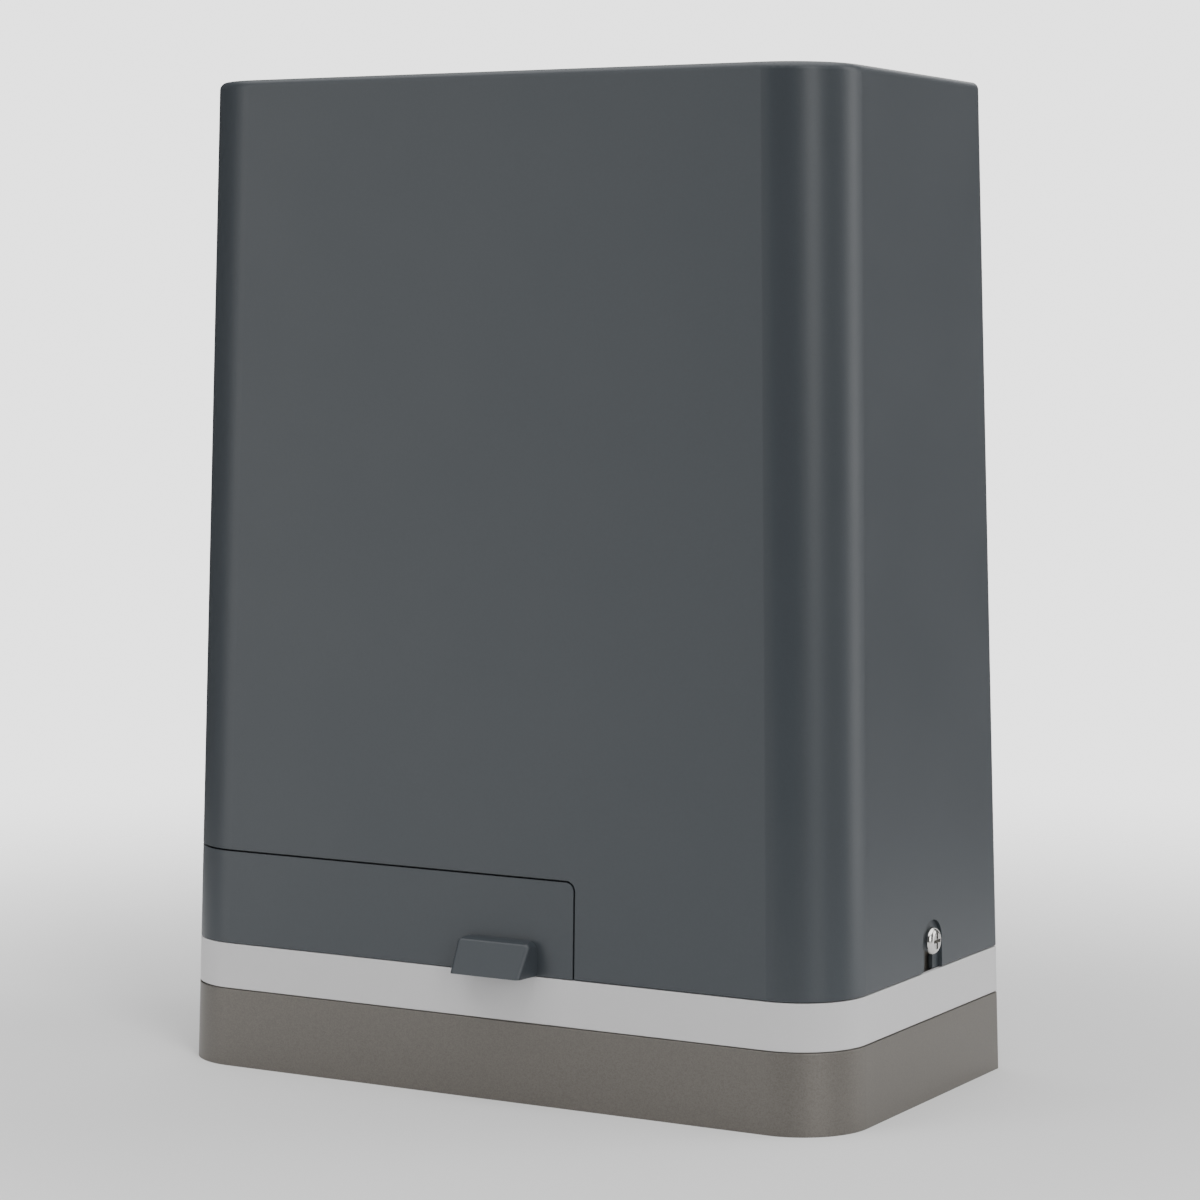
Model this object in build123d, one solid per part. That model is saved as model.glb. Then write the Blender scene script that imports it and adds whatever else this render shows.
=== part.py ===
from build123d import *
from math import atan, ceil, cos, degrees, pi, radians, sin, sqrt, tan
import os

# Sliding gate motor. X runs to the right, -Y is the front, +Y is the gate side, +Z is up.
# The origin is the centre of the foundation bolt pattern, on the underside of the base.

# Housing envelope
body_width = 266.0
body_depth = 135.0
body_height = 350.0
draft_angle = 1.27
front_corner_radius = 24.5
back_corner_radius = 2.6
top_fall = 1.75
top_edge_radius = 2.6
base_height = 28.0
band_top = 44.1
hood_gap = 0.3
seal_sunk = 0.7
seal_inset = 1.6
edge_groove = 0.3
edge_groove_depth = 0.8
edge_radius = 0.4
hood_wall = 3.0
skirt_wall = 4.0
floor_thickness = 6.0
band_wall = 3.0

# Clearances
press_fit = 0.02
running_fit = 0.06
screw_fit = 0.03
loose_fit = 0.35

# Foundation and base
bolt_x = body_width / 2 - 27.0
bolt_y = body_depth / 2 - 24.5
slot_width = 11.0
slot_length = 25.0
grub_x = bolt_x - 42.0
grub_y = body_depth / 2 - 17.5
grub_radius = 4.0
grub_length = 18.0
grub_boss_wall = 3.0
grub_slot_width = 1.2
grub_slot_depth = 1.6
grommet_x = 40.0
grommet_y = 23.5 - body_depth / 2
grommet_radius = 14.0
grommet_lip = 2.5
grommet_cone_height = 8.0
cable_radius = 8.0
band_screw_x = body_width / 2 - 43.0
band_screw_inset = 8.0
band_seat = 34.0
band_lug_thickness = 3.0
screw_boss_radius = 5.0

# Screws and bolts
m5_radius = 2.5
m5_head_radius = 4.75
m5_head_height = 3.3
m8_radius = 4.0
m8_flats = 13.0
m8_head_height = 5.3
m3_radius = 1.5
m3_head_radius = 2.8
m3_head_height = 2.2

# Hood fixing screws, one each side
hood_screw_y = 10.5
hood_screw_z = 54.5
hood_screw_length = 14.0
hood_slot_width = 6.6
pocket_width = 15.4
pocket_offset = 0.3
pocket_top = 61.6
pocket_corner = 7.0
pocket_depth = 1.35
post_depth = 15.0
post_thickness = 9.0
post_top = 62.0

# Release door
door_top = 77.2
door_right = 34.2
door_gap = 0.7
door_corner = 3.0
door_thickness = 2.6
hinge_y = -20.0
knuckle_radius = 2.3
knuckle_height = 7.0
hinge_pin_radius = 1.25
lip_width = 2.5
lip_thickness = 1.6
tab_left = -9.4
tab_right = 20.1
tab_side_taper = 1.2
tab_top = 56.2
tab_face_fall = 0.6
tab_reach_top = 4.2
tab_reach_bottom = 10.6
tab_edge_radius = 1.4
tab_corner_radius = 3.2

# Gear train
wheel_x = -46.0
wheel_z = 64.0
worm_y = 11.0
worm_module = 2.5
wheel_teeth = 30
worm_pitch_radius = 11.0
tooth_thinning = 0.45
wheel_face = 18.0
wheel_hub_radius = 24.0
wheel_sleeve_radius = 15.0
worm_length = 46.0
pinion_module = 4.0
pinion_teeth = 16
pinion_face = 28.0
pinion_front = 76.0
pinion_hub_length = 8.0
pinion_hub_radius = 19.0
shaft_radius = 10.0
front_journal_radius = 8.5
key_width = 6.0
key_height = 6.0
key_above_shaft = 2.8

# Bearings and shaft seal
rear_bearing_radius = 23.5
rear_bearing_width = 14.0
front_bearing_radius = 17.5
front_bearing_width = 10.0
foot_journal_radius = 6.0
foot_bearing_radius = 16.0
foot_bearing_width = 10.0
rotor_shaft_radius = 7.5
rotor_bearing_radius = 17.5
rotor_bearing_width = 11.0
seal_radius = 20.0
seal_width = 7.0
bearing_wall = 4.0

# Gearbox case
case_left = -93.0
case_right = 27.0
case_front = -30.0
case_back = 33.0
case_bottom = 14.0
case_top = 118.0
case_wall = 4.0
case_floor = 6.0
case_roof = 14.0
case_back_wall = 5.0
rear_boss_wall = 6.5
rear_face_y = 66.0
closing_plate_y = 57.0
closing_plate_thickness = 4.0
closing_plate_half_width = 38.0
closing_plate_bottom = 30.0
closing_plate_top = 134.0
notch_half_width = 34.0
notch_top = 131.0
notch_bottom = 33.0
case_lug_y = (-4.0, 20.0)
case_lug_reach = 8.5
case_lug_radius = 7.5
case_lug_height = 8.0
cover_boss_radius = 6.5
cover_boss_depth = 18.0
cover_boss_inset = 7.0
gasket_thickness = 0.6
cover_thickness = 6.0

# Motor above the worm
flange_side = 80.0
flange_corner = 9.0
flange_thickness = 8.0
flange_lip = 8.0
through_bolt_offset = 33.5
can_radius = 38.0
can_wall = 2.0
can_height = 124.0
end_cap_height = 13.0
rotor_radius = 24.0
air_gap = 0.5
core_bottom = 152.0
core_height = 65.0
coil_height = 12.0
capacitor_x = -75.0
capacitor_y = 6.0
capacitor_radius = 17.5
capacitor_height = 78.0

# Clutch
clutch_rear = 0.0
clutch_length = 13.0
clutch_radius = 20.0
groove_radius = 16.0
groove_front = -9.0
groove_width = 4.0
dog_count = 3
dog_length = 4.0
dog_inner = 13.0
dog_outer = 18.5
dog_angle = 32.0
clutch_travel = 4.5

# Release knob, spindle, fork and lock
release_x = -8.0
release_z = 62.0
spindle_radius = 5.0
peg_radius = 1.8
peg_y = -15.0
sleeve_radius = 9.0
sleeve_front = -22.0
sleeve_rear = -5.0
fork_radius = 23.5
knob_front = -58.5
knob_length = 12.0
knob_radius = 13.0
knob_flute_radius = 2.2
knob_flutes = 12
lock_radius = 6.0
lock_length = 9.0
panel_front = -45.0
panel_thickness = 2.0
panel_bottom = 40.0
panel_top = 80.0
panel_foot = 2.0

# Electrics
bracket_rear = -30.5
bracket_thickness = 2.0
bracket_leg_inset = 12.0
bracket_leg_width = 12.0
bracket_foot = 15.0
bracket_bottom = 142.0
bracket_top = 300.0
bracket_window_width = 48.0
bracket_window_height = 40.0
carrier_side_room = 10.95
carrier_bottom = 150.0
carrier_top = 318.0
carrier_depth = 17.5
carrier_wall = 2.0
carrier_corner = 6.0
standoff_height = 7.5
standoff_radius = 3.5
board_thickness = 1.6
board_margin = 4.0
board_screw_inset = 9.0
button_travel = 0.6
button_radius = 2.4
button_length = 5.0
button_housing = 7.0
button_housing_height = 4.0
button_floor = 0.9
button_pitch = 12.0
button_x = (-22.0 - button_pitch, -22.0, -22.0 + button_pitch)
button_z = carrier_bottom + 26.0
display_width = 24.0
display_height = 18.0
display_depth = 7.0
display_above_buttons = 23.0
terminal_pitch = 5.5
terminal_depth = 11.0
terminal_height = 11.0
terminal_counts = (6, 8, 9)
relay_count = 3
relay_pitch = 22.0
relay_width = 18.0
relay_height = 24.0
relay_depth = 11.5
relay_above_board = 72.0
capacitor_from_edge = 24.0
capacitor_from_top = 18.0
large_capacitor_radius = 6.0
small_capacitor_radius = 4.0
capacitor_pitch = 18.0
transformer_x = 70.0
transformer_width = 42.0
transformer_depth = 36.0
transformer_height = 50.0
transformer_limb = 7.0
transformer_stack = 24.0
strap_thickness = 1.6
strap_foot = 12.0
strap_width = 12.0

# Limit switch
limit_box_half_width = 20.0
limit_box_bottom = 102.0
limit_box_top = 128.0
limit_box_depth = 7.5
limit_lever_z = 121.0
limit_lever_length = 46.0
limit_lever_radius = 1.8
limit_hub_radius = 6.0
limit_hub_length = 5.2
limit_pin_radius = 2.5

# Values that follow from the sizes above
draft_slope = tan(radians(draft_angle))
hood_bottom = band_top + hood_gap
carrier_half_width = body_width / 2 - carrier_top * draft_slope - hood_wall - carrier_side_room
bracket_leg_x = carrier_half_width - bracket_leg_inset
board_half_width = carrier_half_width - board_margin
wheel_pitch_radius = worm_module * wheel_teeth / 2
wheel_root_radius = wheel_pitch_radius - 1.25 * worm_module
worm_x = wheel_x + wheel_pitch_radius + worm_pitch_radius
worm_tip_radius = worm_pitch_radius + worm_module
worm_root_radius = worm_pitch_radius - 1.25 * worm_module
worm_lead = pi * worm_module
worm_slope = worm_module / (2 * worm_pitch_radius)
pinion_pitch_radius = pinion_module * pinion_teeth / 2
pinion_tip_radius = pinion_pitch_radius + pinion_module
pinion_rear = pinion_front + pinion_face
wheel_front = worm_y - wheel_face / 2
wheel_rear = worm_y + wheel_face / 2
clutch_front = clutch_rear - clutch_length
rear_bearing_rear = rear_face_y - seal_width - 1.0
rear_bearing_front = rear_bearing_rear - rear_bearing_width
gasket_front = case_front - gasket_thickness
cover_front = gasket_front - cover_thickness
front_bearing_rear = gasket_front + front_bearing_width + 1.0
foot_bearing_bottom = case_bottom + case_floor
neck_bearing_bottom = case_top - 1.0 - rotor_bearing_width
flange_top = case_top + flange_thickness
can_top = flange_top + can_height
top_bearing_bottom = can_top + 0.6
end_cap_top = can_top + end_cap_height
core_radius = can_radius - can_wall
core_top = core_bottom + core_height
rear_boss_radius = rear_bearing_radius + rear_boss_wall
carrier_rear = bracket_rear - bracket_thickness
carrier_front = carrier_rear - carrier_depth
board_rear = carrier_rear - carrier_wall - standoff_height
board_front = board_rear - board_thickness
limit_box_front = closing_plate_y + closing_plate_thickness
limit_box_rear = limit_box_front + limit_box_depth


def half_width(z):
    return body_width / 2 - z * draft_slope


def half_depth(z):
    return body_depth / 2 - z * draft_slope


post_face = half_width(post_top) - hood_wall - loose_fit
pocket_floor = half_width(hood_screw_z) - pocket_depth
hinge_x = -half_width((hood_bottom + door_top) / 2) + door_thickness / 2


# Shapes used by several pieces

def block(x0, x1, y0, y1, z0, z1):
    centre = Pos((x0 + x1) / 2, (y0 + y1) / 2, (z0 + z1) / 2)
    return centre * Box(abs(x1 - x0), abs(y1 - y0), abs(z1 - z0))


def rod_x(y, z, x0, x1, radius):
    return Pos((x0 + x1) / 2, y, z) * Rot(0, 90, 0) * Cylinder(radius, abs(x1 - x0))


def rod_y(x, z, y0, y1, radius):
    return Pos(x, (y0 + y1) / 2, z) * Rot(90, 0, 0) * Cylinder(radius, abs(y1 - y0))


def rod_z(x, y, z0, z1, radius):
    return Pos(x, y, (z0 + z1) / 2) * Cylinder(radius, abs(z1 - z0))


def tube_y(x, z, y0, y1, outer, inner):
    return rod_y(x, z, y0, y1, outer) - rod_y(x, z, y0 - 1, y1 + 1, inner)


def tube_z(x, y, z0, z1, outer, inner):
    return rod_z(x, y, z0, z1, outer) - rod_z(x, y, z0 - 1, z1 + 1, inner)


def group(pieces):
    return Compound(children=[solid for piece in pieces for solid in piece.solids()])


def housing_outline(z, inset=0.0):
    """Plan of the housing at height z, moved inwards by inset."""
    w = half_width(z) - inset
    d = half_depth(z) - inset
    rf = max(front_corner_radius - inset, 1.0)
    rb = max(back_corner_radius - inset, 0.5)
    edges = [
        Line((-w + rf, -d), (w - rf, -d)),
        CenterArc((w - rf, -d + rf), rf, -90, 90),
        Line((w, -d + rf), (w, d - rb)),
        CenterArc((w - rb, d - rb), rb, 0, 90),
        Line((w - rb, d), (-w + rb, d)),
        CenterArc((-w + rb, d - rb), rb, 90, 90),
        Line((-w, d - rb), (-w, -d + rf)),
        CenterArc((-w + rf, -d + rf), rf, 180, 90),
    ]
    return Pos(0, 0, z) * make_face(edges)


def housing_body(z0, z1, inset=0.0):
    return loft([housing_outline(z0, inset), housing_outline(z1, inset)], ruled=True)


def housing_ring(z0, z1, inset, thickness):
    return housing_body(z0, z1, inset) - housing_body(z0 - 0.5, z1 + 0.5, inset + thickness)


def above_roof(drop):
    """Everything above the roof, which falls towards the back."""
    fall = degrees(atan(top_fall / body_depth))
    slab = Pos(0, 0, body_depth / 2) * Box(2 * body_width, 3 * body_depth, body_depth)
    return Pos(0, -half_depth(body_height), body_height - drop) * Rot(-fall, 0, 0) * slab


def screw(radius, length, head_radius, head_height):
    """Pan head screw with a cross recess: head above z = 0, shank below it."""
    cap = Pos(0, 0, head_height / 2) * Cylinder(head_radius, head_height)
    cap = fillet(cap.edges().group_by(Axis.Z)[-1], head_height * 0.6)
    depth = head_height * 0.6
    arm = Box(head_radius * 1.15, head_radius * 0.24, depth)
    cap -= Pos(0, 0, head_height - depth / 2) * (arm + Rot(0, 0, 90) * arm)
    return cap + Pos(0, 0, -length / 2) * Cylinder(radius, length)


def m5_screw(length):
    return screw(m5_radius, length, m5_head_radius, m5_head_height)


def m3_screw(length):
    return screw(m3_radius, length, m3_head_radius, m3_head_height)


def hex_bolt(length, radius=m8_radius, flats=m8_flats, head_height=m8_head_height):
    cap = extrude(RegularPolygon(flats / 2, 6, major_radius=False), head_height)
    cap = chamfer(cap.edges().group_by(Axis.Z)[-1], head_height * 0.12)
    return cap + Pos(0, 0, -length / 2) * Cylinder(radius, length)


head_to_front = Rot(90, 0, 0)
head_to_back = Rot(-90, 0, 0)


def ring_share(bore, outer):
    """Wall of one bearing ring."""
    return (outer - bore) * 0.27


def bearing_outer_ring(bore, outer, width):
    ring = Cylinder(outer - press_fit, width)
    return ring - Cylinder(outer - ring_share(bore, outer), width + 1)


def bearing_inner_ring(bore, outer, width):
    return Cylinder(bore + ring_share(bore, outer), width) - Cylinder(bore + press_fit, width + 1)


def bearing_balls(bore, outer, width):
    race = (outer + bore) / 2
    ball = (outer - bore) / 2 - ring_share(bore, outer) - running_fit
    count = int(2 * pi * race / (2.9 * ball))
    return [Rot(0, 0, i * 360 / count) * Pos(race, 0, 0) * Sphere(ball) for i in range(count)]


def on_output_axis(front, width):
    return Pos(wheel_x, front + width / 2, wheel_z) * Rot(90, 0, 0)


def on_rotor_axis(bottom, width):
    return Pos(worm_x, worm_y, bottom + width / 2)


# Each bearing: its place, bore radius, outer radius and width
front_bearing_front = front_bearing_rear - front_bearing_width
output_bearings = [
    (on_output_axis(rear_bearing_front, rear_bearing_width),
     shaft_radius, rear_bearing_radius, rear_bearing_width),
    (on_output_axis(front_bearing_front, front_bearing_width),
     front_journal_radius, front_bearing_radius, front_bearing_width),
]
rotor_bearings = [
    (on_rotor_axis(foot_bearing_bottom, foot_bearing_width),
     foot_journal_radius, foot_bearing_radius, foot_bearing_width),
    (on_rotor_axis(neck_bearing_bottom, rotor_bearing_width),
     rotor_shaft_radius, rotor_bearing_radius, rotor_bearing_width),
    (on_rotor_axis(top_bearing_bottom, rotor_bearing_width),
     rotor_shaft_radius, rotor_bearing_radius, rotor_bearing_width),
]


# Places of the fasteners

case_lugs = [(x, y) for x in (case_left - case_lug_reach, case_right + case_lug_reach)
             for y in case_lug_y]
grub_places = [(x, y) for x in (-grub_x, grub_x) for y in (-grub_y, grub_y)]
band_screw_y = half_depth(band_top) - band_screw_inset
band_screw_places = [(x, y) for x in (-band_screw_x, band_screw_x)
                     for y in (-band_screw_y, band_screw_y)]
bracket_feet = [(x, bracket_rear + bracket_foot - 6.0) for x in (-bracket_leg_x, bracket_leg_x)]
strap_y = transformer_depth / 2 + strap_thickness + strap_foot / 2
strap_feet = [(transformer_x, -strap_y), (transformer_x, strap_y)]
cover_screw_x = (case_left + cover_boss_inset, case_right - cover_boss_inset)
cover_mid_z = (case_bottom + case_top) / 2
cover_corner_places = [(x, z) for x in cover_screw_x
                       for z in (case_bottom + cover_boss_inset, case_top - cover_boss_inset)]
cover_mid_places = [(x, cover_mid_z) for x in cover_screw_x]
through_bolts = [(worm_x + a * through_bolt_offset, worm_y + b * through_bolt_offset)
                 for a in (-1, 1) for b in (-1, 1)]
board_screw_places = [(a * (carrier_half_width - board_screw_inset), z) for a in (-1, 1)
                      for z in (carrier_bottom + board_screw_inset, carrier_top - board_screw_inset)]


# Base

def base_casting():
    """Cast tray: tapered skirt, floor, and seats for what stands on it."""
    tray = housing_body(0, base_height - edge_groove)
    tray = fillet(tray.faces().sort_by(Axis.Z)[-1].edges(), edge_radius)
    tray += housing_body(base_height - 2 * skirt_wall, base_height, edge_groove_depth)
    tray -= housing_body(floor_thickness, base_height + 1, skirt_wall)
    hole = extrude(SlotOverall(slot_length, slot_width), floor_thickness + 2)
    for x in (-bolt_x, bolt_x):
        for y in (-bolt_y, bolt_y):
            tray -= Pos(x, y, -1) * hole
    for x in (case_left + 16.0, case_right - 16.0):
        tray += block(x - 5, x + 5, case_front + 6, case_back - 6, floor_thickness - 1, case_bottom)
    for side in (-1, 1):
        y0 = hood_screw_y - post_depth / 2
        y1 = hood_screw_y + post_depth / 2
        inner = side * (post_face - post_thickness)
        tray += block(side * post_face, inner, y0, y1, floor_thickness - 1, post_top)
        skirt = side * (half_width(base_height) - skirt_wall / 2)
        tray += block(skirt, inner, y0, y1, floor_thickness - 1, base_height - edge_groove)
        tray -= rod_x(hood_screw_y, hood_screw_z, side * (post_face + 1), inner - side, m5_radius + screw_fit)
    for x, y in case_lugs:
        tray += rod_z(x, y, floor_thickness - 1, case_bottom, case_lug_radius)
        tray -= rod_z(x, y, 2.0, case_bottom + 1, m8_radius + screw_fit)
    for x, y in band_screw_places:
        tray += rod_z(x, y, floor_thickness - 1, band_seat, screw_boss_radius)
        tray -= rod_z(x, y, band_seat - 14, band_seat + 1, m5_radius + screw_fit)
    for x, y in grub_places:
        tray += rod_z(x, y, floor_thickness - 1, grub_length, grub_radius + grub_boss_wall)
        tray -= rod_z(x, y, -1, grub_length + 1, grub_radius + screw_fit)
    for x, y in bracket_feet + strap_feet:
        tray -= rod_z(x, y, 1.0, floor_thickness + 1, m5_radius + screw_fit)
    tray -= rod_z(grommet_x, grommet_y, -1, floor_thickness + 1, grommet_radius)
    return tray


def base_band():
    """Light trim ring between base and hood, with four screwed lugs and an opening for the gearbox."""
    ring = housing_body(base_height, band_top)
    ring = fillet(ring.faces().filter_by(Axis.Z).edges(), edge_radius)
    ring -= housing_body(base_height - 1, band_top + 1, band_wall)
    ring -= housing_ring(band_top - seal_sunk, band_top + 1, seal_inset, band_wall)
    inner_y = half_depth(band_seat) - band_wall / 2
    for x, y in band_screw_places:
        edge = inner_y if y > 0 else -inner_y
        lug = block(x - screw_boss_radius, x + screw_boss_radius, y, edge, band_seat,
                    band_seat + band_lug_thickness)
        ring += lug + rod_z(x, y, band_seat, band_seat + band_lug_thickness, screw_boss_radius)
        ring -= rod_z(x, y, band_seat - 1, band_seat + band_lug_thickness + 1, m5_radius + loose_fit)
    return ring - notch(notch_bottom, band_top + 1)


def notch(z0, z1):
    """Opening in the back wall for the gearbox and the limit switch."""
    return block(wheel_x - notch_half_width, wheel_x + notch_half_width,
                 half_depth(z1) - 3 * hood_wall, body_depth, z0, z1)


def band_screws():
    seat = band_seat + band_lug_thickness
    return group([Pos(x, y, seat) * m5_screw(14) for x, y in band_screw_places])


def levelling_screws():
    grubs = []
    for x, y in grub_places:
        slot = block(x - grub_radius, x + grub_radius, y - grub_slot_width / 2, y + grub_slot_width / 2,
                     grub_length - grub_slot_depth, grub_length + 1)
        grubs.append(rod_z(x, y, 0, grub_length, grub_radius) - slot)
    return group(grubs)


def base_screws():
    """Screws that hold the feet of the board bracket and of the transformer strap."""
    feet = [Pos(x, y, floor_thickness + bracket_thickness) * m5_screw(6) for x, y in bracket_feet]
    straps = [Pos(x, y, floor_thickness + strap_thickness) * m5_screw(6) for x, y in strap_feet]
    return group(feet + straps)


def cable_grommet():
    """Rubber grommet with a lip on the floor and a tapered neck, open for the cable."""
    x, y = grommet_x, grommet_y
    lip_top = floor_thickness + grommet_lip
    body = rod_z(x, y, 1.0, floor_thickness, grommet_radius - press_fit)
    body += rod_z(x, y, floor_thickness, lip_top, grommet_radius + grommet_lip)
    neck = Cone(grommet_radius - 1, cable_radius + 2, grommet_cone_height)
    body += Pos(x, y, lip_top + grommet_cone_height / 2) * neck
    return body - rod_z(x, y, 0, lip_top + grommet_cone_height + 1, cable_radius)


def hood_seal():
    """Rubber strip in the inner top edge of the band, on which the hood stands."""
    ring = housing_ring(band_top - seal_sunk, hood_bottom, seal_inset, band_wall - seal_inset)
    ring -= notch(band_top - 2, hood_bottom + 1)
    for side in (-1, 1):
        ring -= block(side * (pocket_floor - 6), side * body_width, hood_screw_y - hood_slot_width / 2,
                      hood_screw_y + hood_slot_width / 2, band_top - 1, hood_bottom + 1)
    return ring


def hood_screws():
    right = Pos(pocket_floor, hood_screw_y, hood_screw_z) * Rot(0, 90, 0)
    left = Pos(-pocket_floor, hood_screw_y, hood_screw_z) * Rot(0, -90, 0)
    return group([right * m5_screw(hood_screw_length), left * m5_screw(hood_screw_length)])


# Hood and release door

def door_window(grow, rear):
    """Region of the front left corner that the door takes up, larger by grow."""
    right = door_right + grow
    top = door_top + grow
    region = block(-body_width, right, -body_depth, rear, hood_bottom - 6, top)
    corner = region.edges().filter_by(Axis.Y).group_by(Axis.X)[-1].sort_by(Axis.Z)[-1]
    return fillet(corner, door_corner + grow)


def hood():
    """Hood with falling roof, door window, side slots in shallow pockets and rear notch."""
    outer = housing_body(hood_bottom, body_height + top_fall) - above_roof(0)
    outer = fillet(outer.faces().sort_by(Axis.Z)[-1].edges(), top_edge_radius)
    outer = fillet(outer.faces().sort_by(Axis.Z)[0].edges(), edge_radius)
    inner = housing_body(hood_bottom - 1, body_height, hood_wall) - above_roof(hood_wall)
    shell = outer - inner
    shell -= door_window(door_gap, hinge_y + knuckle_radius + loose_fit)
    lip = housing_ring(hood_bottom, door_top + door_gap + lip_width, hood_wall - 0.2, lip_thickness + 0.2)
    lip &= door_window(door_gap + lip_width, hinge_y - 2 * knuckle_radius)
    lip -= door_window(-lip_width, hinge_y)
    shell += lip
    for z0 in (hood_bottom, door_top - knuckle_height):
        shell += rod_z(hinge_x, hinge_y, z0, z0 + knuckle_height, knuckle_radius)
        shell += block(hinge_x - 1.2, hinge_x + 1.2, hinge_y, hinge_y + 3 * knuckle_radius,
                       z0, z0 + knuckle_height)
    shell -= rod_z(hinge_x, hinge_y, hood_bottom - 1, door_top + 0.01, hinge_pin_radius + running_fit)
    for side in (-1, 1):
        shell -= screw_pocket(side)
    return shell - notch(hood_bottom - 1, notch_top)


def screw_pocket(side):
    """Shallow arched pocket around the fixing screw, and its slot open at the lower edge."""
    y = hood_screw_y + pocket_offset
    pocket = block(side * pocket_floor, side * body_width, y - pocket_width / 2, y + pocket_width / 2,
                   hood_bottom - 10, pocket_top)
    pocket = fillet(pocket.edges().filter_by(Axis.X).group_by(Axis.Z)[-1], pocket_corner)
    slot = block(side * (pocket_floor - 3 * hood_wall), side * body_width, hood_screw_y - hood_slot_width / 2,
                 hood_screw_y + hood_slot_width / 2, hood_bottom - 10, hood_screw_z)
    slot += rod_x(hood_screw_y, hood_screw_z, side * (pocket_floor - 3 * hood_wall), side * body_width,
                  hood_slot_width / 2)
    return pocket + slot


def pull_tab():
    """Wedge shaped finger grip, deeper at its lower edge and narrower towards the front."""
    y = half_depth(hood_bottom)
    side_view = make_face(Polyline(
        (-y + 1.5, hood_bottom), (-y - tab_reach_bottom, hood_bottom),
        (-y - tab_reach_top, tab_top - tab_face_fall), (-y + 0.3, tab_top), (-y + 1.5, tab_top), close=True))
    profile = extrude(Plane.YZ * side_view, body_width / 2, both=True)
    front = -y - tab_reach_bottom - 1
    plan = make_face(Polyline(
        (tab_left, -y + 3), (tab_left, -y), (tab_left + tab_side_taper, front),
        (tab_right - tab_side_taper, front), (tab_right, -y), (tab_right, -y + 3), close=True))
    grip = profile & Pos(0, 0, hood_bottom) * extrude(plan, tab_top)
    front_view = block(tab_left, tab_right, front, 3 - y, hood_bottom, tab_top)
    grip &= fillet(front_view.edges().filter_by(Axis.Y).group_by(Axis.Z)[-1], tab_corner_radius)
    return fillet(grip.faces().sort_by(Axis.Y)[0].edges().sort_by(Axis.Z)[1:], tab_edge_radius)


def release_door():
    """Door that wraps the front left corner, with its hinge knuckle and finger grip."""
    skin = housing_ring(hood_bottom, door_top, 0, door_thickness) & door_window(0, hinge_y)
    z0 = hood_bottom + knuckle_height + loose_fit
    z1 = door_top - knuckle_height - loose_fit
    for low, high in ((hood_bottom - 1, z0), (z1, door_top + 1)):
        skin -= rod_z(hinge_x, hinge_y, low, high, knuckle_radius + loose_fit)
    skin += rod_z(hinge_x, hinge_y, z0, z1, knuckle_radius)
    skin -= rod_z(hinge_x, hinge_y, z0 - 1, z1 + 1, hinge_pin_radius + running_fit)
    return skin + pull_tab()


def door_hinge_pin():
    return rod_z(hinge_x, hinge_y, hood_bottom, door_top, hinge_pin_radius)


# Gearbox

def gearbox_case():
    """Cast case, open at the front, with a rear boss, a plate that closes the notch and a motor seat."""
    case = block(case_left, case_right, case_front, case_back, case_bottom, case_top)
    seat = block(worm_x - flange_side / 2, worm_x + flange_side / 2, worm_y - flange_side / 2,
                 worm_y + flange_side / 2, case_top - case_lug_height, case_top)
    case += fillet(seat.edges().filter_by(Axis.Z), flange_corner)
    case += rod_y(wheel_x, wheel_z, case_back - 1, rear_face_y, rear_boss_radius)
    plate = block(wheel_x - closing_plate_half_width, wheel_x + closing_plate_half_width,
                  closing_plate_y, closing_plate_y + closing_plate_thickness,
                  closing_plate_bottom, closing_plate_top)
    case += plate
    for x in (wheel_x - 20, wheel_x + 20):
        case += block(x - 2, x + 2, case_back - 1, closing_plate_y + 1, wheel_z, case_top - 12)
    for x, y in case_lugs:
        edge = case_left + 1 if x < case_left else case_right - 1
        case += block(x, edge, y - case_lug_radius, y + case_lug_radius, case_bottom,
                      case_bottom + case_lug_height)
        case += rod_z(x, y, case_bottom, case_bottom + case_lug_height, case_lug_radius)
    cavity = block(case_left + case_wall, case_right - case_wall, case_front - 1, case_back - case_back_wall,
                   case_bottom + case_floor, case_top - case_roof)
    case -= cavity
    case += rod_z(worm_x, worm_y, foot_bearing_bottom, foot_bearing_bottom + foot_bearing_width - 1,
                  foot_bearing_radius + bearing_wall)
    case -= rod_z(worm_x, worm_y, foot_bearing_bottom, case_top - case_roof, foot_bearing_radius)
    for x, z in cover_corner_places + cover_mid_places:
        case += rod_y(x, z, case_front, case_front + cover_boss_depth, cover_boss_radius)
        case -= rod_y(x, z, case_front - 1, case_front + cover_boss_depth - 3, m5_radius + screw_fit)
    case -= rod_z(worm_x, worm_y, case_top - case_roof - 1, case_top, worm_tip_radius + 1)
    case -= rod_z(worm_x, worm_y, neck_bearing_bottom, case_top + 1, rotor_bearing_radius)
    case -= rod_y(wheel_x, wheel_z, case_back - case_back_wall - 1, rear_bearing_rear, rear_bearing_radius)
    case -= rod_y(wheel_x, wheel_z, rear_bearing_rear - 1, rear_face_y + 1, seal_radius)
    for x, y in through_bolts:
        case -= rod_z(x, y, case_top - case_lug_height - 1, case_top + 1, m5_radius + screw_fit)
    for x, y in case_lugs:
        case -= rod_z(x, y, case_bottom - 1, case_bottom + case_lug_height + 1, m8_radius + loose_fit)
    for x, z in limit_screw_places:
        case -= rod_y(x, z, closing_plate_y - 1, limit_box_front + 1, m3_radius + screw_fit)
    return case


def case_bolts():
    top = case_bottom + case_lug_height
    return group([Pos(x, y, top) * hex_bolt(top - 3.0) for x, y in case_lugs])


def cover_plate(front, rear):
    plate = block(case_left, case_right, front, rear, case_bottom, case_top)
    return fillet(plate.edges().filter_by(Axis.Y), 3.0)


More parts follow.
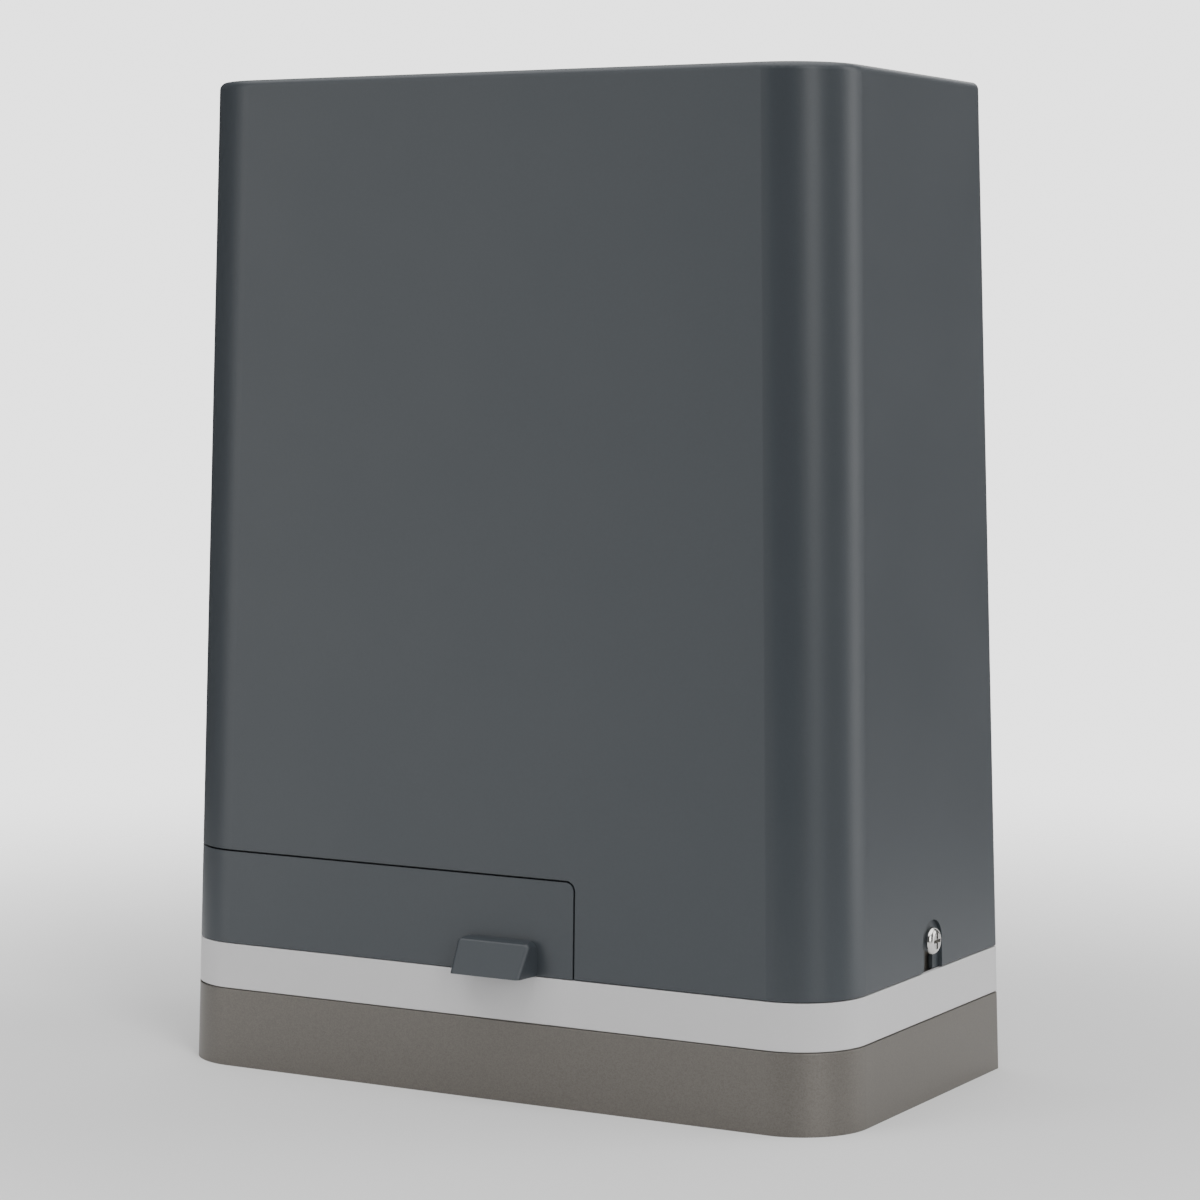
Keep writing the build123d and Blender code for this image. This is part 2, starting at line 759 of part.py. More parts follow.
def cover_gasket():
    sheet = cover_plate(gasket_front, case_front)
    sheet -= block(case_left + case_wall, case_right - case_wall, gasket_front - 1, case_front + 1,
                   case_bottom + case_floor, case_top - case_roof)
    for x, z in cover_corner_places + cover_mid_places:
        sheet += rod_y(x, z, gasket_front, case_front, cover_boss_radius)
        sheet -= rod_y(x, z, gasket_front - 1, case_front + 1, m5_radius + loose_fit)
    return sheet


def gearbox_cover():
    """Front cover with the seat of the front bearing and a bushed bore for the release spindle."""
    cover = cover_plate(cover_front, gasket_front)
    cover += rod_y(wheel_x, wheel_z, gasket_front - 1, front_bearing_rear,
                   front_bearing_radius + bearing_wall)
    cover += rod_y(release_x, release_z, cover_front - 3, gasket_front - 1, spindle_radius + 3)
    cover -= rod_y(wheel_x, wheel_z, front_bearing_front, front_bearing_rear + 1, front_bearing_radius)
    cover -= rod_y(release_x, release_z, cover_front - 4, gasket_front + 1, spindle_radius + running_fit)
    for x, z in cover_corner_places + cover_mid_places:
        cover -= rod_y(x, z, cover_front - 1, gasket_front + 1, m5_radius + loose_fit)
    return cover


def cover_screws():
    corners = [Pos(x, cover_front, z) * head_to_front * m5_screw(18) for x, z in cover_corner_places]
    middle = [Pos(x, cover_front - panel_foot, z) * head_to_front * m5_screw(20) for x, z in cover_mid_places]
    return group(corners + middle)


def release_panel():
    """Plate behind the door: it hides the gearbox and is held under the middle cover screws."""
    rear = panel_front + panel_thickness
    plate = block(case_left, case_right, panel_front, rear, panel_bottom, panel_top)
    plate -= rod_y(release_x, release_z, panel_front - 1, rear + 1, spindle_radius + 4)
    for x, z in cover_mid_places:
        plate += rod_y(x, z, rear - 1, cover_front, m5_head_radius + 2.2)
        plate -= rod_y(x, z, panel_front - 1, cover_front - panel_foot, m5_head_radius + 0.5)
        plate -= rod_y(x, z, panel_front - 1, cover_front + 1, m5_radius + loose_fit)
    return plate


def shaft_seal():
    """Rubber shaft seal in the rear boss."""
    front = rear_face_y - seal_width
    ring = tube_y(wheel_x, wheel_z, front, rear_face_y, seal_radius - press_fit, shaft_radius + running_fit)
    return ring - tube_y(wheel_x, wheel_z, front - 1, front + 4, seal_radius - 3, shaft_radius + 2)


# Output shaft, wheel and pinion

def gear_points(module, teeth, pressure, thinning, flank_steps):
    """Closed outline of an involute gear, as points, with a tooth gap centred on the X axis."""
    pitch = module * teeth / 2
    base = pitch * cos(radians(pressure))
    tip = pitch + module
    root = pitch - 1.25 * module
    start = max(base, root)
    involute = tan(radians(pressure)) - radians(pressure)
    half_tooth = (pi * module / 2 - thinning) / (2 * pitch) + involute
    flank = []
    for i in range(flank_steps + 1):
        radius = start + (tip - start) * i / flank_steps
        roll = sqrt(max(radius * radius / (base * base) - 1, 0))
        flank.append((radius, half_tooth - (roll - atan(roll))))
    points = []
    for tooth in range(teeth):
        middle = (tooth + 0.5) * 2 * pi / teeth
        side = [(root, flank[0][1])] + flank
        for radius, offset in side:
            points.append((radius * cos(middle - offset), radius * sin(middle - offset)))
        for radius, offset in reversed(side):
            points.append((radius * cos(middle + offset), radius * sin(middle + offset)))
    return points


def worm_wheel():
    """Bronze worm wheel that turns free on the shaft until the clutch ring locks it."""
    outline = make_face(Polyline(*gear_points(worm_module, wheel_teeth, 20, tooth_thinning, 2), close=True))
    turn = degrees(wheel_face * worm_slope / wheel_pitch_radius)
    sections = []
    for share in (-0.5, 0.5):
        # Local X, Y of the outline are X, Z of the part; the teeth follow the worm thread.
        angle = -share * turn
        plane = Plane(origin=(wheel_x, worm_y + share * wheel_face, wheel_z),
                      x_dir=(1, 0, 0), z_dir=(0, -1, 0))
        sections.append(plane * (Rot(0, 0, angle) * outline))
    wheel = loft(sections, ruled=True)
    rim = wheel_root_radius - 5.0
    for y0, y1 in ((wheel_front - 1, wheel_front + 5), (wheel_rear - 5, wheel_rear + 1)):
        wheel -= tube_y(wheel_x, wheel_z, y0, y1, rim, wheel_hub_radius)
    wheel += rod_y(wheel_x, wheel_z, clutch_rear + loose_fit, wheel_rear, wheel_hub_radius)
    wheel += rod_y(wheel_x, wheel_z, wheel_rear - 1, rear_bearing_front - 0.1, wheel_sleeve_radius)
    wheel -= rod_y(wheel_x, wheel_z, clutch_rear - 1, rear_bearing_front + 1, shaft_radius + running_fit)
    for i in range(dog_count):
        wheel -= clutch_dog(i, loose_fit)
    return wheel


def clutch_dog(i, grow):
    """One driving dog, or with grow the pocket in the wheel that takes it."""
    inner = dog_inner - grow
    outer = dog_outer + grow
    y0 = clutch_rear - 1
    y1 = clutch_rear + dog_length + grow
    ring = tube_y(wheel_x, wheel_z, y0, y1, outer, inner)
    half = tan(radians(dog_angle / 2)) * outer + grow
    wedge = make_face(Polyline((0, -grow), (2 * outer, -grow - 2 * half), (2 * outer, grow + 2 * half),
                               (0, grow), close=True))
    turn = Rot(0, 0, 90 + i * 360 / dog_count + 180 / dog_count)
    plane = Plane(origin=(wheel_x, y1, wheel_z), x_dir=(1, 0, 0), z_dir=(0, -1, 0))
    return ring & extrude(plane * (turn * wedge), y1 - y0)


def output_shaft():
    """Shaft with a smaller front journal and the keyways of clutch and pinion."""
    shaft = rod_y(wheel_x, wheel_z, front_bearing_front, front_bearing_rear, front_journal_radius)
    shaft += rod_y(wheel_x, wheel_z, front_bearing_rear, pinion_rear - 0.5, shaft_radius)
    shaft -= clutch_key_block(screw_fit) + pinion_key_block(screw_fit)
    return shaft - rod_y(wheel_x, wheel_z, pinion_rear - 26, pinion_rear, m8_radius + screw_fit)


def key_block(y0, y1, grow):
    top = wheel_z + shaft_radius + key_above_shaft + grow
    bottom = wheel_z + shaft_radius + key_above_shaft - key_height - grow
    return block(wheel_x - key_width / 2 - grow, wheel_x + key_width / 2 + grow,
                 y0 - grow, y1 + grow, bottom, top)


def clutch_key_block(grow):
    return key_block(clutch_front - clutch_travel, clutch_rear - 1.0, grow)


def pinion_key_block(grow):
    return key_block(pinion_front - pinion_hub_length + 4, pinion_rear - 6, grow)


def drive_pinion():
    """Steel pinion that drives the gate rack."""
    outline = make_face(Polyline(*gear_points(pinion_module, pinion_teeth, 20, 0.2, 4), close=True))
    plane = Plane(origin=(wheel_x, pinion_rear, wheel_z), x_dir=(1, 0, 0), z_dir=(0, -1, 0))
    gear = extrude(plane * outline, pinion_face)
    gear &= rod_y(wheel_x, wheel_z, pinion_front, pinion_rear, pinion_tip_radius)
    gear += rod_y(wheel_x, wheel_z, pinion_front - pinion_hub_length, pinion_front + 1, pinion_hub_radius)
    gear -= rod_y(wheel_x, wheel_z, pinion_front - pinion_hub_length - 1, pinion_rear + 1,
                  shaft_radius + press_fit)
    y0 = pinion_front - pinion_hub_length - 1
    keyway = key_block(y0, pinion_rear + 1, running_fit)
    return gear - keyway


def pinion_bolt():
    """Bolt with a wide washer that holds the pinion on the shaft."""
    place = Pos(wheel_x, pinion_rear + 3.0, wheel_z) * head_to_back
    washer = tube_y(wheel_x, wheel_z, pinion_rear, pinion_rear + 3.0, 15.0, m8_radius + loose_fit)
    return group([place * hex_bolt(24.0), washer])


# Clutch and release

def clutch_ring():
    """Ring keyed to the shaft; its dogs drive the wheel, its groove takes the fork."""
    ring = rod_y(wheel_x, wheel_z, clutch_front, clutch_rear, clutch_radius)
    ring -= tube_y(wheel_x, wheel_z, groove_front, groove_front + groove_width,
                   clutch_radius + 1, groove_radius)
    for i in range(dog_count):
        ring += clutch_dog(i, 0)
    ring -= rod_y(wheel_x, wheel_z, clutch_front - 1, clutch_rear + dog_length + 1,
                  shaft_radius + running_fit)
    return ring - key_block(clutch_front - 1, clutch_rear + dog_length + 1, running_fit)


def shift_fork():
    """Fork in the clutch groove, moved by the spindle peg in its screw-shaped slot."""
    y0 = groove_front + loose_fit
    y1 = groove_front + groove_width - loose_fit
    fork = tube_y(wheel_x, wheel_z, y0, y1, fork_radius, groove_radius + loose_fit)
    fork &= block(wheel_x, 0, y0 - 1, y1 + 1, 0, case_top)
    fork += block(wheel_x + fork_radius - 1.5, release_x, y0, y1, release_z - 5, release_z + 5)
    fork += rod_y(release_x, release_z, sleeve_front, sleeve_rear, sleeve_radius)
    fork -= rod_y(release_x, release_z, sleeve_front - 1, sleeve_rear + 1, spindle_radius + running_fit)
    steps = 12
    for i in range(-1, steps + 2):
        share = i / steps
        place = Pos(release_x, peg_y + share * clutch_travel, release_z) * Rot(0, share * 90, 0)
        fork -= place * Pos(0, 0, sleeve_radius / 2 + 1) * Cylinder(peg_radius + loose_fit, sleeve_radius + 2)
    return fork


def release_spindle():
    """Spindle turned by the knob, with the peg that shifts the fork."""
    spindle = rod_y(release_x, release_z, knob_front + lock_length + 1.0, sleeve_rear, spindle_radius)
    return spindle + rod_z(release_x, peg_y, release_z, release_z + sleeve_radius - 0.5, peg_radius)


def release_knob():
    """Fluted knob with a bore for the spindle and one for the lock cylinder."""
    rear = knob_front + knob_length
    knob = rod_y(release_x, release_z, knob_front, rear, knob_radius)
    knob = fillet(knob.edges().group_by(Axis.Y)[0], 1.2)
    for i in range(knob_flutes):
        angle = 2 * pi * i / knob_flutes
        reach = knob_radius + knob_flute_radius * 0.45
        knob -= rod_y(release_x + reach * cos(angle), release_z + reach * sin(angle),
                      knob_front - 1, rear + 1, knob_flute_radius)
    knob -= rod_y(release_x, release_z, knob_front - 1, knob_front + lock_length, lock_radius + running_fit)
    return knob - rod_y(release_x, release_z, knob_front + lock_length - 1, rear + 1,
                        spindle_radius + press_fit)


def lock_cylinder():
    """Lock cylinder in the knob, with its key slot."""
    plug = rod_y(release_x, release_z, knob_front - 0.5, knob_front + lock_length, lock_radius)
    return plug - block(release_x - 0.9, release_x + 0.9, knob_front - 1, knob_front + 6,
                        release_z - 3.6, release_z + 3.6)


# Motor

def square_plate(z0, z1):
    half = flange_side / 2
    plate = block(worm_x - half, worm_x + half, worm_y - half, worm_y + half, z0, z1)
    return fillet(plate.edges().filter_by(Axis.Z), flange_corner)


def motor_flange():
    """Cast flange between gearbox and motor can, with a pilot for the can."""
    plate = square_plate(case_top, flange_top)
    plate += tube_z(worm_x, worm_y, flange_top - 1, flange_top + flange_lip, core_radius - press_fit,
                    core_radius - 3.5)
    plate -= rod_z(worm_x, worm_y, case_top - 1, flange_top + 1, rotor_bearing_radius - 3)
    for x, y in through_bolts:
        plate -= rod_z(x, y, case_top - 1, flange_top + 1, m5_radius + loose_fit)
    return plate


def motor_can():
    return tube_z(worm_x, worm_y, flange_top, can_top, can_radius, core_radius)


def stator_core():
    """Ring of stacked sheets, pressed into the can."""
    return tube_z(worm_x, worm_y, core_bottom, core_top, core_radius - press_fit, rotor_radius + air_gap)


def stator_coils():
    """The two winding heads, rounded like taped copper."""
    heads = []
    for z0 in (core_bottom - coil_height, core_top):
        head = tube_z(worm_x, worm_y, z0, z0 + coil_height, core_radius - 2.0, rotor_radius + 2.0)
        outer_end = head.edges().filter_by(GeomType.CIRCLE).group_by(Axis.Z)
        heads.append(fillet(outer_end[0] if z0 < core_bottom else outer_end[-1], 3.5))
    return group(heads)


def motor_end_cap():
    """End cap that carries the top bearing and takes the four through bolts."""
    cap = square_plate(can_top, end_cap_top)
    cap += tube_z(worm_x, worm_y, can_top - flange_lip, can_top + 1,
                  core_radius - press_fit, core_radius - 3.5)
    cap -= rod_z(worm_x, worm_y, can_top - 1, top_bearing_bottom + rotor_bearing_width, rotor_bearing_radius)
    for x, y in through_bolts:
        cap -= rod_z(x, y, can_top - 1, end_cap_top + 1, m5_radius + loose_fit)
    return cap


def motor_bolts():
    length = end_cap_top - case_top + case_lug_height - 1
    bolts = [Pos(x, y, end_cap_top) * hex_bolt(length, m5_radius, 8.0, 3.5) for x, y in through_bolts]
    return group(bolts)


def rotor_core():
    """Squirrel cage rotor with a short ring at each end."""
    core = rod_z(worm_x, worm_y, core_bottom, core_top, rotor_radius)
    for z0 in (core_bottom - 5, core_top):
        core += tube_z(worm_x, worm_y, z0, z0 + 5, rotor_radius - 1, rotor_radius - 8)
    return core - rod_z(worm_x, worm_y, core_bottom - 6, core_top + 6, rotor_shaft_radius + press_fit)


def worm():
    """Single start worm, placed so that its thread runs through a tooth gap of the wheel."""
    half_tip = worm_lead / 4 - tooth_thinning / 2 - worm_module * tan(radians(20))
    sunk = worm_root_radius - 0.6
    half_root = half_tip + (worm_tip_radius - sunk) * tan(radians(20))
    turns = ceil(worm_length / 2 / worm_lead)
    # The wheel side of the worm is half a turn from the start, so the thread passes it at this height.
    wheel_height = (turns + 0.5) * worm_lead
    path = Helix(worm_lead, (2 * turns + 1) * worm_lead, worm_pitch_radius)
    section = make_face(Polyline((sunk, -half_root), (worm_tip_radius, -half_tip),
                                 (worm_tip_radius, half_tip), (sunk, half_root), close=True))
    thread = sweep(Plane.XZ * section, path=path, is_frenet=True)
    z0 = wheel_height - worm_length / 2
    z1 = wheel_height + worm_length / 2
    cut = worm_tip_radius + 1
    thread &= block(-cut, cut, -cut, cut, z0, z1)
    core = rod_z(0, 0, z0 - 1, z1 + 1, worm_root_radius)
    return Pos(worm_x, worm_y, wheel_z - wheel_height) * (core + thread)


def rotor_shaft():
    """Motor shaft with the worm cut on it."""
    shaft = rod_z(worm_x, worm_y, foot_bearing_bottom + 0.3, foot_bearing_bottom + foot_bearing_width,
                  foot_journal_radius)
    shaft += rod_z(worm_x, worm_y, foot_bearing_bottom + foot_bearing_width,
                   top_bearing_bottom + rotor_bearing_width, rotor_shaft_radius)
    return worm() + shaft


def run_capacitor():
    """Run capacitor: a can with a crimped top rim, two tabs and a stud foot."""
    z0 = case_top
    can = rod_z(capacitor_x, capacitor_y, z0, z0 + capacitor_height, capacitor_radius)
    can = fillet(can.edges().group_by(Axis.Z)[-1], 1.5)
    can += tube_z(capacitor_x, capacitor_y, z0, z0 + 6, capacitor_radius + 0.8, capacitor_radius - 1)
    for side in (-1, 1):
        x = capacitor_x + side * 7
        can += block(x - 0.4, x + 0.4, capacitor_y - 3, capacitor_y + 3, z0 + capacitor_height - 1,
                     z0 + capacitor_height + 9)
    return can


# Electrics

def board_bracket():
    """Bent steel plate on two legs that carries the board in front of the motor."""
    y0, y1 = bracket_rear - bracket_thickness, bracket_rear
    reach = bracket_leg_x + bracket_leg_width / 2
    plate = block(-reach, reach, y0, y1, bracket_bottom, bracket_top)
    for x, y in bracket_feet:
        x0, x1 = x - bracket_leg_width / 2, x + bracket_leg_width / 2
        plate += block(x0, x1, y0, y1, floor_thickness, bracket_bottom + 1)
        plate += block(x0, x1, y0, bracket_rear + bracket_foot, floor_thickness,
                       floor_thickness + bracket_thickness)
        plate -= rod_z(x, y, 0, floor_thickness + bracket_thickness + 1, m5_radius + loose_fit)
    window = bracket_bottom + bracket_window_height / 2
    return plate - block(-bracket_window_width / 2, bracket_window_width / 2, y0 - 1, y1 + 1,
                         window, window + bracket_window_height)


def board_carrier():
    """Plastic tray, open to the front, with four standoffs for the board."""
    w = carrier_half_width
    tray = block(-w, w, carrier_front, carrier_rear, carrier_bottom, carrier_top)
    tray = fillet(tray.edges().filter_by(Axis.Y), carrier_corner)
    hollow = block(-w + carrier_wall, w - carrier_wall, carrier_front - 1, carrier_rear - carrier_wall,
                   carrier_bottom + carrier_wall, carrier_top - carrier_wall)
    tray -= fillet(hollow.edges().filter_by(Axis.Y), carrier_corner - carrier_wall)
    for x, z in board_screw_places:
        tray += rod_y(x, z, board_rear, carrier_rear - 1, standoff_radius)
        tray -= rod_y(x, z, board_rear - 1, carrier_rear - 0.8, m3_radius + screw_fit)
    return tray


def circuit_board():
    w = board_half_width
    board = block(-w, w, board_front, board_rear, carrier_bottom + board_margin, carrier_top - board_margin)
    board = fillet(board.edges().filter_by(Axis.Y), carrier_corner - board_margin + 1)
    for x, z in board_screw_places:
        board -= rod_y(x, z, board_front - 1, board_rear + 1, m3_radius + loose_fit)
    return board


def board_screws():
    return group([Pos(x, board_front, z) * head_to_front * m3_screw(8.0) for x, z in board_screw_places])


def terminal_blocks():
    """Rows of screw terminals along the lower edge of the board, with a wire opening each."""
    rows = []
    z0 = carrier_bottom + board_margin + 3
    front = board_front - terminal_depth
    lengths = [count * terminal_pitch for count in terminal_counts]
    starts = (16.0 - board_half_width, -40.0, board_half_width - 24.5 - lengths[-1])
    for first, count in zip(starts, terminal_counts):
        row = block(first, first + count * terminal_pitch, front, board_front, z0, z0 + terminal_height)
        row = chamfer(row.edges().filter_by(Axis.X).group_by(Axis.Y)[0].sort_by(Axis.Z)[-1], 2.5)
        for i in range(count):
            x = first + (i + 0.5) * terminal_pitch
            row -= block(x - 1.8, x + 1.8, front + 2, board_front - 4, z0 - 1, z0 + 5)
            row -= rod_y(x, z0 + terminal_height / 2, front - 1, front + 3, 1.7)
        rows.append(row)
    return group(rows)


def relays():
    """Power relays on the board, side by side."""
    z0 = carrier_bottom + board_margin + relay_above_board
    cubes = []
    for i in range(relay_count):
        x = board_half_width - 24.0 - i * relay_pitch
        cube = block(x - relay_width / 2, x + relay_width / 2, board_front - relay_depth, board_front,
                     z0, z0 + relay_height)
        cubes.append(fillet(cube.faces().sort_by(Axis.Y)[0].edges(), 1.0))
    return group(cubes)


def board_capacitors():
    """Two large upright capacitors and a small one near the board's upper left corner."""
    x = capacitor_from_edge - board_half_width
    z = carrier_top - board_margin - capacitor_from_top
    cans = []
    for dx, dz, radius in ((0, 0, large_capacitor_radius), (capacitor_pitch, 0, large_capacitor_radius),
                           (0, -26.0, small_capacitor_radius)):
        can = rod_y(x + dx, z + dz, board_front - relay_depth, board_front, radius)
        cans.append(fillet(can.edges().group_by(Axis.Y)[0], 0.8))
    return group(cans)


def board_display():
    """Plain display module above the buttons."""
    z = button_z + display_above_buttons
    return block(button_x[1] - display_width / 2, button_x[1] + display_width / 2,
                 board_front - display_depth, board_front, z - display_height / 2, z + display_height / 2)


def button_housings():
    half = button_housing / 2
    cups = []
    for x in button_x:
        cup = block(x - half, x + half, board_front - button_housing_height, board_front,
                    button_z - half, button_z + half)
        bore = rod_y(x, button_z, board_front - button_housing_height - 1, board_front - button_floor,
                     button_radius + running_fit)
        cups.append(cup - bore)
    return group(cups)


def program_button(x):
    rear = board_front - button_floor - button_travel - 0.2
    cap = rod_y(x, button_z, rear - button_length, rear, button_radius)
    return fillet(cap.edges().group_by(Axis.Y)[0], 0.4)


def transformer_core():
    """Stack of E and I sheets: outer limbs, middle limb and yokes around two windows."""
    half = transformer_width / 2
    stack = transformer_stack / 2
    top = floor_thickness + transformer_height
    core = block(transformer_x - half, transformer_x + half, -stack, stack, floor_thickness, top)
    for side in (-1, 1):
        near = transformer_x + side * transformer_limb
        far = transformer_x + side * (half - transformer_limb)
        core -= block(near, far, -stack - 1, stack + 1,
                      floor_thickness + transformer_limb, top - transformer_limb)
    return core


def transformer_coil():
    """Wound bobbin on the middle limb."""
    z0 = floor_thickness + transformer_limb
    z1 = floor_thickness + transformer_height - transformer_limb
    x_out = transformer_width / 2 - transformer_limb - running_fit
    y_out = transformer_depth / 2 - 1
    coil = block(transformer_x - x_out, transformer_x + x_out, -y_out, y_out, z0, z1)
    coil = fillet(coil.edges().filter_by(Axis.Z), 2.0)
    x_in = transformer_limb + running_fit
    y_in = transformer_stack / 2 + running_fit
    return coil - block(transformer_x - x_in, transformer_x + x_in, -y_in, y_in, z0 - 1, z1 + 1)


def transformer_bracket():
    """Steel strap over the core with two screwed feet."""
    top = floor_thickness + transformer_height
    half = strap_width / 2
    outer = transformer_depth / 2 + strap_thickness
    x0, x1 = transformer_x - half, transformer_x + half
    strap = block(x0, x1, -outer, outer, floor_thickness, top + strap_thickness)
    strap -= block(x0 - 1, x1 + 1, strap_thickness - outer, outer - strap_thickness,
                   floor_thickness - 1, top)
    for x, y in strap_feet:
        reach = outer + strap_foot
        edge = -reach if y < 0 else reach
        start = -outer if y < 0 else outer
        strap += block(x0, x1, start - (0.5 if y > 0 else -0.5), edge, floor_thickness,
                       floor_thickness + strap_thickness)
        strap -= rod_z(x, y, 0, floor_thickness + strap_thickness + 1, m5_radius + loose_fit)
    return strap


# Limit switch on the back

limit_screw_places = [(wheel_x + s * (limit_box_half_width - 4.0), limit_box_bottom + 5.0) for s in (-1, 1)]


def limit_switch_box():
    box = block(wheel_x - limit_box_half_width, wheel_x + limit_box_half_width, limit_box_front,
                limit_box_rear, limit_box_bottom, limit_box_top)
    box = fillet(box.edges().filter_by(Axis.Y), 3.0)
    box = fillet(box.faces().sort_by(Axis.Y)[-1].edges(), 1.0)
    box += rod_y(wheel_x, limit_lever_z - 6, limit_box_rear - 1, limit_box_rear, limit_hub_radius + 1.5)
    box -= rod_y(wheel_x, limit_lever_z, limit_box_front + 1.5, limit_box_rear + 1,
                 limit_pin_radius + running_fit)
    for x, z in limit_screw_places:
        box -= rod_y(x, z, limit_box_front - 1, limit_box_rear + 1, m3_radius + loose_fit)
    return box


def limit_switch_screws():
    return group([Pos(x, limit_box_rear, z) * head_to_back * m3_screw(limit_box_depth + 3.5)
                  for x, z in limit_screw_places])


def limit_lever():
    """Whisker lever that the end stops on the rack push over."""
    y0 = limit_box_rear + 0.3
    y1 = y0 + limit_hub_length
    lever = rod_y(wheel_x, limit_lever_z, y0, y1, limit_hub_radius)
    lever += rod_y(wheel_x, limit_lever_z, limit_box_front + 2.0, y0 + 1, limit_pin_radius)
    top = limit_lever_z + limit_lever_length
    middle = (y0 + y1) / 2
    lever += rod_z(wheel_x, middle, limit_lever_z, top, limit_lever_radius)
    lever += rod_z(wheel_x, middle, limit_lever_z, limit_lever_z + 16, limit_lever_radius + 0.7)
    return lever + Pos(wheel_x, middle, top) * Sphere(limit_lever_radius + 0.7)


def bearing_pieces(shape, bearings):
    pieces = []
    for place, bore, outer, width in bearings:
        made = shape(bore, outer, width)
        for piece in made if isinstance(made, list) else [made]:
            pieces.append(place * piece)
    return group(pieces)


pieces = {
    "base_casting": base_casting(),
    "base_band": base_band(),
    "band_screws": band_screws(),
    "levelling_screws": levelling_screws(),
    "base_screws": base_screws(),
    "cable_grommet": cable_grommet(),
    "hood_seal": hood_seal(),
    "hood_screws": hood_screws(),
    "hood": hood(),
    "release_door": release_door(),
    "door_hinge_pin": door_hinge_pin(),
    "gearbox_case": gearbox_case(),
    "case_bolts": case_bolts(),
    "cover_gasket": cover_gasket(),
    "gearbox_cover": gearbox_cover(),
    "cover_screws": cover_screws(),
    "release_panel": release_panel(),
    "shaft_seal": shaft_seal(),
    "bearing_outer_rings": bearing_pieces(bearing_outer_ring, output_bearings + rotor_bearings),
    "bearing_balls": bearing_pieces(bearing_balls, output_bearings + rotor_bearings),
    "output_bearing_inner_rings": bearing_pieces(bearing_inner_ring, output_bearings),
    "rotor_bearing_inner_rings": bearing_pieces(bearing_inner_ring, rotor_bearings),
    "worm_wheel": worm_wheel(),
    "output_shaft": output_shaft(),
    "clutch_key": clutch_key_block(0),
    "pinion_key": pinion_key_block(0),
    "drive_pinion": drive_pinion(),
    "pinion_bolt": pinion_bolt(),
    "clutch_ring": clutch_ring(),
    "shift_fork": shift_fork(),
    "release_spindle": release_spindle(),
    "release_knob": release_knob(),
    "lock_cylinder": lock_cylinder(),
    "motor_flange": motor_flange(),
    "motor_can": motor_can(),
    "stator_core": stator_core(),
    "stator_coils": stator_coils(),
    "motor_end_cap": motor_end_cap(),
    "motor_bolts": motor_bolts(),
    "rotor_core": rotor_core(),
    "rotor_shaft": rotor_shaft(),
    "run_capacitor": run_capacitor(),
    "board_bracket": board_bracket(),
    "board_carrier": board_carrier(),
    "circuit_board": circuit_board(),
    "board_screws": board_screws(),
    "terminal_blocks": terminal_blocks(),
    "relays": relays(),
    "board_capacitors": board_capacitors(),
    "board_display": board_display(),
    "button_housings": button_housings(),
    "transformer_core": transformer_core(),
    "transformer_coil": transformer_coil(),
    "transformer_bracket": transformer_bracket(),
    "limit_switch_box": limit_switch_box(),
    "limit_switch_screws": limit_switch_screws(),
    "limit_lever": limit_lever(),
}
for number, x in enumerate(button_x, 1):
    pieces[f"program_button_{number}"] = program_button(x)

os.makedirs("parts", exist_ok=True)
for name, piece in pieces.items():
    export_step(piece, f"parts/{name}.step")
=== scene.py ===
"""Sliding gate motor: finishes, board parts, windings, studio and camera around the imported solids."""

import math
import random

import bmesh
import bpy
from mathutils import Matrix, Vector


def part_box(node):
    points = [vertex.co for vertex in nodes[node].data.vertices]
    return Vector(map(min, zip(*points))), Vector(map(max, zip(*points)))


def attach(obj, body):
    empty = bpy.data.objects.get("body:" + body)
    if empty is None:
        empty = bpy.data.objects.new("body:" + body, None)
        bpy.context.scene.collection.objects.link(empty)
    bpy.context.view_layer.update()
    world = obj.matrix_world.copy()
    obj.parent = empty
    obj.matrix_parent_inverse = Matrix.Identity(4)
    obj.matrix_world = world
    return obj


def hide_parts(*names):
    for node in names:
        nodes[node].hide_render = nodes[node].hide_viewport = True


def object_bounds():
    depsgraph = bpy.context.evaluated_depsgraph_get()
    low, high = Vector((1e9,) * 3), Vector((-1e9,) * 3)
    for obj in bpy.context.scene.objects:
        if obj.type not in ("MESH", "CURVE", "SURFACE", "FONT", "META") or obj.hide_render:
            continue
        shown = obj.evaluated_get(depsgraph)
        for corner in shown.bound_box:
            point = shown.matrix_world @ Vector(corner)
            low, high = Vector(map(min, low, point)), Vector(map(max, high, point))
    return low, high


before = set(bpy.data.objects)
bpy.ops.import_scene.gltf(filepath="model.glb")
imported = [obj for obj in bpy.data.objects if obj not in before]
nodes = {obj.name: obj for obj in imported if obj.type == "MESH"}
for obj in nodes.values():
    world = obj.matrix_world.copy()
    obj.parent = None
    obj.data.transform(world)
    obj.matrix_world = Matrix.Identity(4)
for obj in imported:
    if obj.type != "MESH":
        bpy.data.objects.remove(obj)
cad_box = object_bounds()

MM = 0.001

# Camera: the viewing angle and distance of the photograph
look_at = Vector((6.768, 0.0, 167.04)) * MM
view_azimuth = 29.849
view_elevation = 4.829
view_distance = 1270.26 * MM
lens_length = 107.53
sensor_size = 36.0

# Studio
floor_radius = 0.8
floor_solid_radius = 0.2
floor_colour = (0.8, 0.8, 0.8, 1.0)


